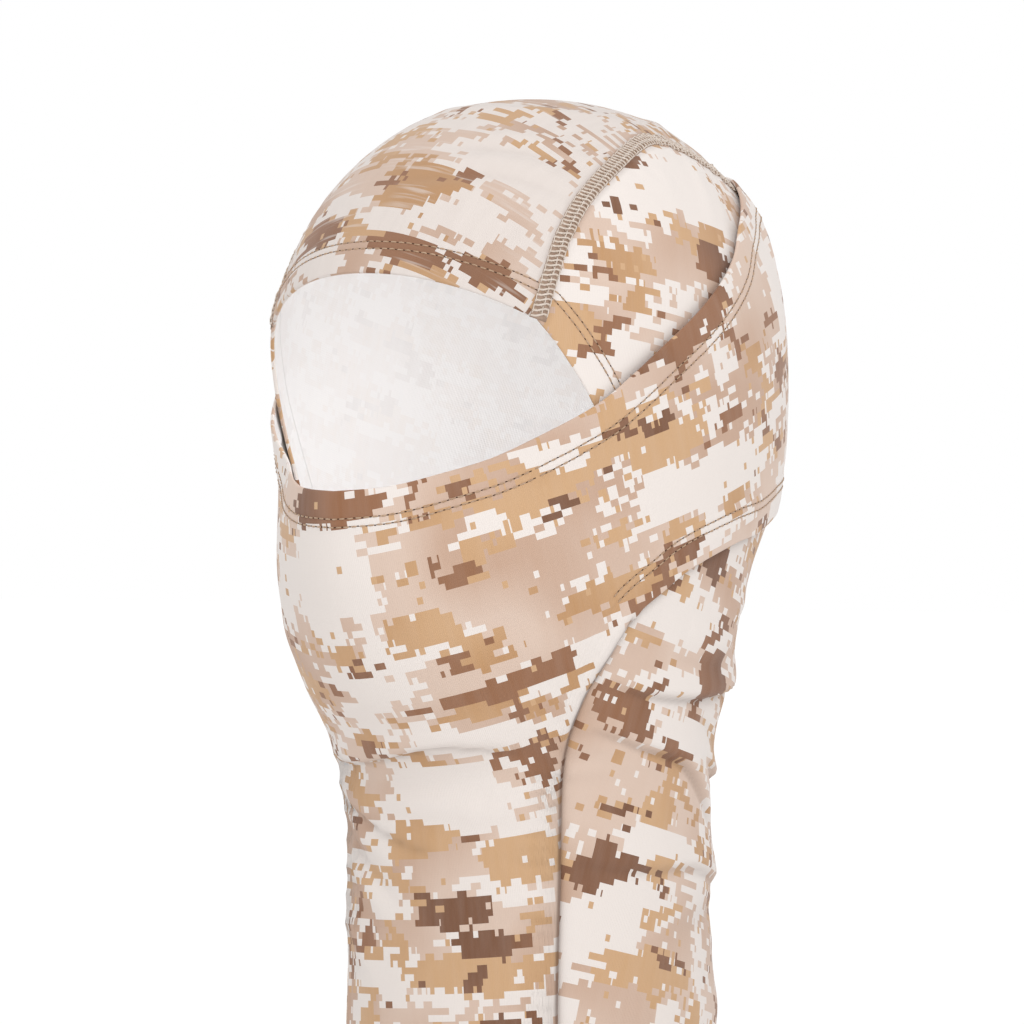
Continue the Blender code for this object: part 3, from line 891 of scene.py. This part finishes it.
def raised(rows, lift, radius, sides):
    """Tubes through rows of (point, normal), raised along the normals."""
    n = unit(rows[..., 3:])
    return tubes(rows[..., :3] + n * lift[None, :, None], n, radius, sides)


def flatlock(name, line, side, seed):
    """The wide flat seam: a low ribbon, two lanes of looper rungs and three needle rows."""
    half = FLATLOCK_HALF
    offsets = np.linspace(-half, half, 15)
    base = np.stack([shifted(line, d, side) for d in offsets], 1)
    n = normal(base)
    rise = FLATLOCK_CROWN * (1 - np.abs(offsets / half) ** 4)
    skin = surface(base, "hood") + n * rise[None, :, None]
    s = lengths(line)
    ribbon = cloth_object(name + "_ribbon", skin, skin - n * 0.3, strip_uv(line, offsets), [SEAM_BED])
    field = np.concatenate([skin, n], -1)

    def on_ribbon(along, x):
        i = np.clip(np.interp(along, s, np.arange(len(s))), 0, len(s) - 1.001)
        j = np.clip((x + half) / (2 * half) * (len(offsets) - 1), 0, len(offsets) - 1.001)
        return between(field, i, j)

    rng = np.random.default_rng(seed)
    parts = []
    reach = 0.9 * half
    count = int((s[-1] - 3.0) / RUNG)
    t = np.linspace(-1, 1, 11)
    for lane, (phase, lean) in enumerate(LANES):
        start = 1.5 + RUNG * (np.arange(count) + phase) + rng.uniform(-0.07, 0.07, count)
        along = start[:, None] + (lean * RUNG * (t + 0.35 * np.sin(np.pi * t)))[None]
        rows = on_ribbon(along, np.broadcast_to(reach * t, along.shape))
        lift = 0.16 + 0.1 * lane - 0.34 * np.abs(t) ** 8
        parts.append(raised(rows, lift, 0.38 - 0.16 * lane, 6))
    u = np.linspace(0, 1, 6)
    for x0 in NEEDLE_ROWS:
        start = 1.5 + RUNG * 2 * np.arange(count // 2) + rng.uniform(-0.1, 0.1, count // 2)
        along = start[:, None] + (RUNG * 2 - 0.45) * u[None]
        rows = on_ribbon(along, np.full(along.shape, x0) + 0.08 * np.sin(6.28 * u)[None])
        lift = 0.5 - 0.5 * np.abs(2 * u - 1) ** 3
        parts.append(raised(rows, lift, NEEDLE_RADIUS, 5))
    verts, faces, slots = merge(parts, (0, 1, 0, 0, 0))
    threads = mesh_object(name, verts, faces, [THREAD_PALE, THREAD_TAUPE], slots)
    return threads, ribbon


def overlock(name, line, side, layer, above):
    """A sewn and overlocked rib on the inside of a plain seam."""
    offsets = np.linspace(-RIB_HALF, RIB_HALF, 7)
    base = strip_grid(line, -RIB_HALF, RIB_HALF, side, 6)
    n = normal(base)
    bulge = 0.5 * (1 - np.linspace(-1, 1, 7) ** 2)
    top = surface(base, layer, above)
    low = top - n * (0.5 + bulge)[None, :, None]
    s = lengths(line)
    rib = cloth_object(name + "_rib", top, low, strip_uv(line, offsets), [REVERSE])
    count = int((s[-1] - 2.0) / RIB_STEP)
    t = np.linspace(-1, 1, 9)
    along = 1.0 + RIB_STEP * np.arange(count)[:, None] + 0.9 * t[None]
    ups = read_off(n[:, 3], s, along)
    cross = unit(read_off(base[:, -1] - base[:, 0], s, along))
    points = read_off(low[:, 3], s, along) + cross * (2.3 * t)[None, :, None]
    points += ups * (0.5 * t ** 2 - 0.08)[None, :, None]
    verts, faces = tubes(points, ups, NEEDLE_RADIUS, 5)
    threads = mesh_object(name, verts, faces, [THREAD_PALE])
    return threads, rib


# ---------------------------------------------------------------- materials
def linear(r, g, b):
    """An sRGB colour, 0 to 255, as linear RGBA."""
    out = []
    for v in (r, g, b):
        v /= 255.0
        out.append(v / 12.92 if v <= 0.04045 else ((v + 0.055) / 1.055) ** 2.4)
    return (*out, 1.0)


class Graph:
    """A node material written as nested calls."""

    def __init__(self, name, roughness=0.9, sheen=0.25, colour=(0.8, 0.8, 0.8, 1.0)):
        self.mat = bpy.data.materials.new(name)
        self.mat.use_nodes = True
        self.tree = self.mat.node_tree
        self.shader = self.tree.nodes["Principled BSDF"]
        self.set("Roughness", roughness)
        self.set("Specular IOR Level", 0.25)
        self.set("Sheen Weight", sheen)
        self.set("Sheen Roughness", 0.45)
        self.set("Base Color", colour)
        self.mat.diffuse_color = colour

    def put(self, socket, value):
        if isinstance(value, bpy.types.NodeSocket):
            self.tree.links.new(value, socket)
        else:
            socket.default_value = value

    def set(self, name, value):
        self.put(self.shader.inputs[name], value)

    def add(self, kind, *values, out=0, **settings):
        node = self.tree.nodes.new("ShaderNode" + kind)
        for key, value in settings.items():
            setattr(node, key, value)
        for socket, value in zip(node.inputs, values):
            if value is not None:
                self.put(socket, value)
        return node.outputs[out]

    def math(self, operation, a, b=None, c=None, clamp=False):
        return self.add("Math", a, b, c, operation=operation, use_clamp=clamp)

    def vec(self, operation, a, b=None, c=None):
        out = 1 if operation in ("LENGTH", "DISTANCE") else 0
        return self.add("VectorMath", a, b, c, operation=operation, out=out)

    def noise(self, vector, scale, detail=2.0, rough=0.5, dims="2D"):
        return self.add("TexNoise", vector, None, scale, detail, rough, noise_dimensions=dims)

    def mix(self, factor, a, b):
        node = self.tree.nodes.new("ShaderNodeMix")
        node.data_type = "RGBA"
        for k, value in ((0, factor), (6, a), (7, b)):
            self.put(node.inputs[k], value)
        return node.outputs[2]

    def bump(self, height, strength, distance, after=None):
        node = self.tree.nodes.new("ShaderNodeBump")
        self.put(node.inputs["Strength"], strength)
        self.put(node.inputs["Distance"], distance)
        self.put(node.inputs["Height"], height)
        if after is not None:
            self.put(node.inputs["Normal"], after)
        return node.outputs["Normal"]


CREAM = linear(239, 230, 224)
PINK = linear(221, 196, 179)
DEEP_PINK = linear(200, 166, 143)
OCHRE = linear(209, 168, 126)
DEEP_OCHRE = linear(193, 148, 104)
BROWN = linear(150, 103, 71)
DEEP_BROWN = linear(122, 81, 55)
SHADOW = linear(84, 58, 44)
PALE = linear(232, 231, 231)
DUSTY = linear(158, 140, 130)
# width and height of a print cell, the knit's wales and courses, all in metres of the cut
CELL_SIZE = (0.0018, 0.0024)
WALE = 0.00062
COURSE = 0.0008
# (layer, noise scale, noise value where it starts, its colour, the deeper tone that it drifts to)
LAYERS = (("pink", 29.0, 0.592, PINK, DEEP_PINK), ("ochre", 35.0, 0.667, OCHRE, DEEP_OCHRE),
          ("brown", 34.0, 0.716, BROWN, DEEP_BROWN))
# how much an area of the print adds to its layer's noise, and how far, in half sizes, it reaches
AREA_GAIN = 0.25
AREA_REACH = 1.6
# how much chance a block of two cells and a single cell add to the noise
BLOCK_CHANCE = 0.12
CELL_CHANCE = 0.04
# random number over which a cell is cream, and under which it is ochre, whatever the layers say
STRAY_CREAM = 0.986
STRAY_OCHRE = 0.008


def knit(g, uv, strength=0.5):
    """Fine wales of the jersey, with a little unevenness of the yarn."""
    u = g.add("SeparateXYZ", uv, out=0)
    v = g.add("SeparateXYZ", uv, out=1)
    wale = g.math("SINE", g.math("MULTIPLY", u, 2 * math.pi / WALE))
    course = g.math("SINE", g.math("MULTIPLY", v, 2 * math.pi / COURSE))
    loops = g.math("MULTIPLY_ADD", course, 0.25, wale)
    grain = g.noise(g.vec("MULTIPLY", uv, (1.0, 0.35, 1.0)), 1500.0, 1.0, 0.5)
    height = g.math("MULTIPLY_ADD", grain, 1.6, loops)
    first = g.bump(height, strength, 0.00004)
    slubs = g.noise(g.vec("MULTIPLY", uv, (1.0, 0.12, 1.0)), 260.0, 2.0, 0.6)
    return g.bump(slubs, strength * 0.5, 0.00025, first), loops, slubs


def snapped_cells(g, uv):
    """The print's blocks of cells in shifted rows, and three random numbers per block and cell."""
    w, h = CELL_SIZE
    row = g.vec("SNAP", uv, (10.0, h, 1.0))
    odd = g.math("GREATER_THAN", g.add("TexWhiteNoise", row, noise_dimensions="2D"), 0.5)
    slide = g.add("CombineXYZ", g.math("MULTIPLY", odd, w), 0.0, 0.0)
    block = g.vec("SUBTRACT", g.vec("SNAP", g.vec("ADD", uv, slide), (2 * w, h, 1.0)), slide)
    fine = g.vec("SNAP", g.vec("ADD", uv, (0.3 * w, 0.0, 0.0)), (w, h, 1.0))
    ragged = g.add("TexWhiteNoise", block, noise_dimensions="2D", out=1)
    crumbs = g.add("TexWhiteNoise", fine, noise_dimensions="2D", out=1)
    return block, ragged, crumbs


def print_colour(g, uv, blobs, shift, more):
    """Cream under layers of pink, ochre and brown cells, each where its own noise is high."""
    block, ragged, crumbs = snapped_cells(g, uv)
    block_mm = g.vec("MULTIPLY", block, (1000.0, 1000.0, 0.0))
    wide = g.vec("MULTIPLY", block, (1.0, 2.0, 1.0))
    fields = {}
    for k, (layer, scale, *_) in enumerate(LAYERS):
        place = g.vec("ADD", wide, (shift + 1.7 * k, 0.9 * k - shift, 0.0))
        field = g.noise(place, scale, 3.5, 0.58)
        chance = g.add("SeparateXYZ", ragged, out=k)
        field = g.math("MULTIPLY_ADD", chance, BLOCK_CHANCE, field)
        chance = g.add("SeparateXYZ", crumbs, out=k)
        fields[layer] = g.math("MULTIPLY_ADD", chance, CELL_CHANCE, field)
    for layer, u, v, half_u, half_v in blobs:
        near = g.vec("MULTIPLY_ADD", block_mm, (1 / half_u, 1 / half_v, 0.0),
                     (-u / half_u, -v / half_v, 0.0))
        reach = g.math("MINIMUM", g.vec("LENGTH", near), AREA_REACH)
        gain = -AREA_GAIN if layer.startswith("no_") else AREA_GAIN
        gain = g.math("MULTIPLY_ADD", reach, -gain, AREA_REACH * gain)
        for key in (tuple(fields) if layer == "no_print" else (layer.replace("no_", ""),)):
            fields[key] = g.math("ADD", fields[key], gain)
    colour = CREAM
    for (layer, scale, level, ink, deep), extra in zip(LAYERS, more):
        tone = g.noise(g.vec("ADD", uv, (scale, shift, 0.0)), 16.0, 1.0, 0.5)
        ink = g.mix(g.math("MULTIPLY_ADD", tone, 4.0, -1.7, True), ink, deep)
        colour = g.mix(g.math("GREATER_THAN", fields[layer], level - extra), colour, ink)
    stray = g.add("SeparateXYZ", crumbs, out=2)
    colour = g.mix(g.math("GREATER_THAN", stray, STRAY_CREAM), colour, CREAM)
    return g.mix(g.math("LESS_THAN", stray, STRAY_OCHRE), colour, OCHRE)


def print_graph(name, blobs, shift, washed=0.0, streaks=0.0, tint=CREAM, bump=0.5,
                more=(0.0, 0.0, 0.0)):
    """Printed jersey.

    blobs are (layer, centre u, centre v, half width, half height) in mm of the cut, shift picks
    another piece of the endless print, washed and tint fade it, streaks adds pale lines that are partly
    the white knit showing through where it is stretched and partly painted highlights of small folds,
    more adds to each layer."""
    g = Graph(name)
    uv = g.add("UVMap", uv_map="cut")
    colour = print_colour(g, uv, blobs, shift, more)
    relief_normal, loops, slubs = knit(g, uv, bump)
    # pale streaks: partly white knit showing through the stretched print, partly painted highlights of
    # small folds
    if streaks:
        fine_lines = g.noise(g.vec("MULTIPLY", uv, (0.06, 1.0, 1.0)), 420.0, 2.0, 0.6)
        lines = g.math("MULTIPLY_ADD", fine_lines, 9.0, -4.9, True)
        areas = g.math("MULTIPLY_ADD", g.noise(uv, 34.0, 1.0, 0.5), 5.0, -2.3, True)
        colour = g.mix(g.math("MULTIPLY", g.math("MULTIPLY", lines, areas), streaks), colour, CREAM)
    colour = g.mix(g.math("MULTIPLY_ADD", slubs, 0.10, washed), colour, tint)
    # painted shade in the hollows between the knit's loops
    colour = g.mix(g.math("MULTIPLY_ADD", loops, -0.012, 0.015), colour, SHADOW)
    # painted shade: the 'shade' attribute darkens the print towards SHADOW in seams and creases, under
    # rolls and beside hems
    shade_painted = g.add("Attribute", out=2, attribute_name="shade")
    g.set("Base Color", g.mix(shade_painted, colour, SHADOW))
    g.set("Normal", relief_normal)
    return g.mat


def thread_material(name, colour, dark, sheen=0.3):
    """Spun polyester thread: twisted plies, slightly uneven in colour."""
    g = Graph(name, 0.62, sheen, colour)
    where = g.add("TexCoord", out=3)
    twist = g.add("TexWave", where, 900.0, 2.0, 1.0, wave_type="BANDS", bands_direction="DIAGONAL")
    tone = g.noise(where, 700.0, 2.0, 0.6, "3D")
    g.set("Base Color", g.mix(g.math("MULTIPLY_ADD", tone, 1.6, -0.45, True), dark, colour))
    g.set("Normal", g.bump(g.add("SeparateColor", twist), 0.4, 0.00008))
    return g.mat


THREAD_PALE = thread_material("thread_pale", linear(236, 226, 216), linear(212, 196, 182))
THREAD_TAUPE = thread_material("thread_taupe", linear(206, 186, 168), linear(168, 144, 124))
THREAD_EDGE = thread_material("thread_edge", linear(206, 178, 152), linear(168, 136, 108))
# painted shade: the needle holes are dark only by their shadow, drawn as dark tubes
HOLE_SHADE = thread_material("needle_hole_shade", linear(96, 68, 50), linear(64, 44, 32), 0.0)
SEAM_BED = thread_material("seam_bed", linear(184, 158, 140), linear(154, 129, 112), 0.1)


# ---------------------------------------------------------------- base grids of the panels
def crown_base():
    """Rows run back from the brow, columns from the right seam to the left one.

    Returned with it: the brow's edge on the form and the count of rows in a hem."""
    total = lengths(SEAM)[-1]
    bowed = lengths(places(over_run))[BOW_END * SPLINE_STEPS]
    fine = FOLD + HEM_STEPS
    steps = int((total - 2 * fine[-1]) / CELL)
    middle = np.linspace(fine[-1], total - fine[-1], steps)[1:-1]
    rows = np.concatenate([[0.0], fine, middle, total - fine[::-1]])
    line = resample(shifted(SEAM, GAP, -1.0), SEAM, at_lengths=rows)
    s = np.linspace(-1.0, 1.0, int(CROWN_WIDTH / CELL))
    x = line[:, None, 0] * s
    y = line[:, 1:2] + 0.0 * x
    z = line[:, 2:3] + 0.0 * x - DOME_START
    bow = math.radians(BROW_BOW) * np.maximum(0.0, 1.0 - rows / bowed)[:, None] * (1 - s * s)
    grid = on_form(np.stack([x, y * np.cos(bow) + z * np.sin(bow),
                             DOME_START - y * np.sin(bow) + z * np.cos(bow)], -1))
    return grid[1:], grid[0], len(fine)


def side_base():
    """Rows run back from the opening and the front seam, columns down from the crown seam."""
    front = np.vstack([spline(FACE_EDGE)[:-1], spline(FRONT_SEAM)])
    m, n = 260, 180
    top = resample(over_run, places(over_run), n)
    back = resample(back_run, places(back_run), m)
    front = resample(front, places(front), m)
    bottom = np.stack([np.linspace(front[-1, 0], back[-1, 0], n), np.full(n, BOTTOM)], 1)
    u = np.linspace(0, 1, n)[:, None, None]
    v = np.linspace(0, 1, m)[None, :, None]
    patch = (1 - v) * top[:, None] + v * bottom[:, None] + (1 - u) * front[None] + u * back[None]
    patch -= (1 - u) * ((1 - v) * top[0] + v * bottom[0]) + u * ((1 - v) * top[-1] + v * bottom[-1])
    grid = at(patch[..., 0], patch[..., 1])
    hem = FOLD + HEM_STEPS
    grid = respaced(grid, np.array([GAP]), hem, CELL)
    grid = respaced(grid.transpose(1, 0, 2), hem + 0.1, np.array([GAP]), CELL).transpose(1, 0, 2)
    return on_form(grid)


def mask_pairs():
    """Upper azimuth, lower azimuth and lower height from the centre front to the centre back."""
    tongue = np.array([(4.0 * k, 7.5 * k, BOTTOM) for k in range(7)], float)
    return np.vstack([resample(tongue, tongue, 60)[:-1], spline(MASK_LOWER)])


def mask_base():
    """Rows run round the head, back to back by way of the front, columns down from the upper edge."""
    pairs = mask_pairs()
    upper = at(pairs[:, 0], mask_top(pairs[:, 0]))
    lower = at(pairs[:, 1], pairs[:, 2])
    pace = np.hstack([upper, 0.4 * lower])
    total = lengths(pace)[-1]
    pairs = resample(pairs, pace, at_lengths=np.linspace(0, total - 0.4, int(total / WIDE_CELL)))
    t = np.linspace(0, 1, 300)[None, :]
    azimuth = pairs[:, :1] * (1 - t ** 3) + pairs[:, 1:2] * t ** 3
    height = mask_top(pairs[:, :1]) * (1 - t) + pairs[:, 2:3] * t
    half = at(azimuth, height)
    hem = FOLD + HEM_STEPS
    half = on_form(respaced(half, hem, hem, WIDE_CELL))
    return np.concatenate([mirror(half)[:0:-1], half])


crown, brow, crown_hem = crown_base()
side = side_base()
mask = mask_base()

middle = brow.shape[0] // 2
OPENING = np.vstack([brow[middle:][:-1], FACE])
OPENING[0, 0] = 0.0
OPENING = resample(OPENING, OPENING, spacing=1.5)
OPENING = both_sides(OPENING[:-2])
upper = np.linspace(0, 180, 400)
TOP_EDGE = at(upper, mask_top(upper))
TOP_EDGE = both_sides(resample(TOP_EDGE, TOP_EDGE, spacing=1.5))
lower = mask_pairs()
lower = at(lower[:, 1], lower[:, 2])
BAND = lower[np.argmin(np.linalg.norm(lower - at(*BAND_START), axis=1)):]
BAND = resample(BAND, BAND, spacing=1.5)
BAND = np.vstack([BAND[:-1], mirror(BAND[::-1])])
RING = at(np.arange(-180.0, 180.0, 1.2), BOTTOM)


def hem_relief(p, layer):
    """A hem is two layers thick, drawn in at its two rows of stitching."""
    out = np.zeros(p.shape[:-1])
    edges = (OPENING,) if layer == "hood" else (TOP_EDGE, BAND)
    for line in edges:
        out += relief(near_line(p, line, 20.0)[0])
    return out + relief(p[..., 2] - BOTTOM)


def relief(d):
    """A hem's height over its panel at a distance from its edge."""
    d = np.abs(d)
    thick = HEM_RISE * (1 - smooth((d - HEM_END) / 2.4))
    rows = sum(np.exp(-((d - row) / 0.6) ** 2) for row in STITCH_ROWS)
    plump = 0.12 * np.sin(np.pi * np.clip(d / STITCH_ROWS[0], 0, 1))
    return thick + plump - 0.2 * rows


# ---------------------------------------------------------------- cuts and their print
def wrap_cut(grid, sign, tilt, shift):
    """The cut of a panel that wraps the form, placed by its middle row."""
    half, end = grid.shape[0] // 2, grid.shape[1] - 1
    return cut(flat_wrap(grid, sign), (half, end), (half, 0), tilt, shift)


# the tilts follow the print of the picture, the shifts keep the three cuts apart
rows, cols = crown.shape[:2]
crown_uv = cut(flat_strip(crown, (crown_hem, rows - crown_hem)), (rows // 3, cols // 2),
               (0, cols // 2), 4.0, (0.0, 0.0))
side_uv = wrap_cut(side, np.ones(len(side)), 17.0, (900.0, 0.0))
mask_uv = wrap_cut(mask, np.sign(np.arange(len(mask)) - len(mask) // 2), -4.0, (0.0, 900.0))


def blobs(areas, base, uv):
    """Areas of the print, moved from the garment to the nearest place of a cut."""
    out = []
    for layer, azimuth, z, half_width, half_height in areas:
        d = np.linalg.norm(base - at(azimuth, z), axis=2)
        i = np.unravel_index(np.argmin(d), d.shape)
        out.append((layer, float(uv[i][0]), float(uv[i][1]), half_width, half_height))
    return out


REVERSE = print_graph("jersey_reverse", [], 5.0, washed=0.88, tint=PALE, bump=0.6)
PRINT_MASK = print_graph("jersey_print_mask", blobs(MASK_PRINT, mask, mask_uv), 11.0,
                         more=(0.0, -0.006, -0.012))
PRINT_SIDE = print_graph("jersey_print_side", blobs(SIDE_PRINT, side, side_uv), 23.0,
                         more=(-0.004, -0.012, -0.014))
PRINT_FAR = print_graph("jersey_print_far_side", [], 37.0)
PRINT_CROWN = print_graph("jersey_print_crown", blobs(CROWN_PRINT, crown, crown_uv), 53.0,
                          washed=0.15, streaks=0.45, tint=DUSTY, more=(-0.016, -0.016, -0.016))


def hem_cloth(name, node, line, side, layer, body, closed=False):
    ride(under_strip(name, line, side, layer, closed), body, node)


def hem_stitches(names, nodes, line, side, layer, body, seed, closed=False):
    """A hem's two rows of stitching, the one nearer the edge first."""
    for k, (name, node) in enumerate(zip(names, nodes)):
        piece = stitch_row(name, line, STITCH_ROWS[k], side, layer, closed, seed + k)
        ride(piece, body, node)


def named(stem, *ends):
    return [stem + end for end in ends]


def build_hood():
    piece = panel("hood_crown", crown, "hood", crown_uv, [PRINT_CROWN, REVERSE], (1, 1), (0, 0))
    ride(piece, "hood", "crown_panel")
    for name, base, mat in (("left", side, PRINT_SIDE), ("right", mirror(side), PRINT_FAR)):
        piece = panel("hood_side_" + name, base, "hood", side_uv, [mat, REVERSE], (1, 0), (0, 1))
        ride(piece, "hood", "side_panel_" + name)
    hem_cloth("opening_allowance", "face_opening_hem", OPENING, -1.0, "hood", "hood")
    hem_cloth("bottom_allowance", "bottom_hem", RING, -1.0, "hood", "hood", closed=True)
    hem_stitches(named("opening_stitch_", "inner", "outer"), named("face_stitch_", "inner", "outer"),
                 OPENING[10:-10], -1.0, "hood", "hood", 0)
    hem_stitches(named("hem_stitch_", "lower", "upper"), named("bottom_stitch_", "lower", "upper"),
                 RING, -1.0, "hood", "hood", 10, closed=True)
    for name, line, way in zip(("left", "right"), pair(SEAM), (1.0, -1.0)):
        for piece in flatlock("crown_flatlock_" + name, line, way, 20 + int(way)):
            ride(piece, "hood", "crown_seam_" + name)
    inside = FRONT[(FRONT[:, 2] < -66) & (FRONT[:, 2] > BOTTOM + HEM_WIDTH + 1.5)]
    for name, line, way in zip(("left", "right"), pair(inside), (1.0, -1.0)):
        for piece in overlock("neck_overlock_" + name, line, way, "hood", -2.0 * FOLD - 0.1):
            ride(piece, "hood", "front_seam_" + name)


def build_mask():
    piece = panel("mask_wrap", mask, "mask", mask_uv, [PRINT_MASK, REVERSE], (0, 0), (1, 1))
    ride(piece, "bend", "mask_panel")
    split = at(FRONT_HALF, mask_top(FRONT_HALF))
    left = int(np.argmin(np.linalg.norm(TOP_EDGE - split, axis=1)))
    right = len(TOP_EDGE) - 1 - left
    front = TOP_EDGE[right:left + 1]
    rear = np.vstack([TOP_EDGE[left:-1], TOP_EDGE[:right + 1]])
    for name, line, body in (("front", front, "mask"), ("rear", rear, "bend")):
        hem_cloth("mask_allowance_" + name, "mask_hem_" + name, line, 1.0, "mask", body)
        hem_stitches(named("mask_edge_stitch_" + name, "_upper", "_lower"),
                     named("mask_stitch_" + name, "_upper", "_lower"), line, 1.0, "mask", body, 30)
    hem_cloth("band_allowance", "band_lower_hem", BAND, -1.0, "mask", "bend")
    hem_stitches(named("band_edge_stitch_", "lower", "upper"), named("band_stitch_", "lower", "upper"),
                 BAND, -1.0, "mask", "bend", 40)
    top, low = BACK_SEAM
    back = at(180.0, np.linspace(mask_top(180.0) + top, low, 70))
    for piece in overlock("mask_back_overlock", back, 1.0, "mask", -2.0 * FOLD + 0.3):
        ride(piece, "bend", "mask_back_seam")


# ---------------------------------------------------------------- studio
def area_light(name, direction, size, energy):
    """A round light that looks at the origin."""
    lamp = bpy.data.lights.new(name, "AREA")
    lamp.shape = "DISK"
    lamp.size = size
    lamp.energy = energy
    x, y, z = place = unit(np.array(direction)) * LIGHT_DISTANCE
    turn = (math.atan2(math.hypot(x, y), z), 0.0, math.atan2(-y, -x) - math.pi / 2)
    in_scene(name, lamp, place, turn)


def backdrop(scene):
    """White to the camera, a softer grey to the garment."""
    world = bpy.data.worlds.new("studio")
    scene.world = world
    world.use_nodes = True
    tree = world.node_tree
    sky = tree.nodes["Background"]
    sky.inputs["Color"].default_value = WHITE
    seen = tree.nodes.new("ShaderNodeLightPath")
    level = tree.nodes.new("ShaderNodeMapRange")
    level.inputs["To Min"].default_value = 0.68
    level.inputs["To Max"].default_value = 1.0
    tree.links.new(seen.outputs["Is Camera Ray"], level.inputs["Value"])
    tree.links.new(level.outputs["Result"], sky.inputs["Strength"])


def white_floor():
    """Takes the garment's shadow near it and turns into plain white further off."""
    floor = Graph("floor", 0.9, 0.0, FLOOR_GREY)
    reach = floor.vec("LENGTH", floor.add("TexCoord", out=3))
    far = floor.math("MULTIPLY_ADD", reach, 3.2, -0.9, True)
    floor.set("Base Color", floor.mix(far, FLOOR_GREY, (0.0, 0.0, 0.0, 1.0)))
    floor.set("Emission Color", WHITE)
    floor.set("Emission Strength", far)
    verts = [(x * 9000, y * 9000, 0) for x, y in ((-1, -1), (1, -1), (1, 1), (-1, 1))]
    ground = mesh_object("floor", verts, [(0, 1, 2, 3)], [floor.mat])
    ground.location.z = (BOTTOM - 1.0) * MM


def studio():
    scene = bpy.context.scene
    scene.view_settings.view_transform = "Standard"
    scene.view_settings.look = "None"
    azimuth = math.radians(CAMERA_AZIMUTH)
    back = np.array([math.sin(azimuth), -math.cos(azimuth), 0.0])
    right = np.array([math.cos(azimuth), math.sin(azimuth), 0.0])
    camera = bpy.data.cameras.new("camera")
    camera.lens = LENS
    camera.sensor_width = 36.0
    eye = back * CAMERA_DISTANCE + right * AIM[0] + np.array([0.0, 0.0, AIM[1]])
    scene.camera = in_scene("camera", camera, eye, (math.pi / 2, 0.0, azimuth))
    backdrop(scene)
    white_floor()
    area_light("key", (0.75, -0.62, 0.55), 1.1, 8.0)
    area_light("top", (-0.2, -0.2, 1.0), 1.3, 4.0)
    glow = bpy.data.lights.new("inside", "POINT")
    glow.energy = 0.165
    glow.shadow_soft_size = 0.045
    in_scene("inside", glow, (0.0, 0.0, 0.01))


studio()
build_hood()
build_mask()
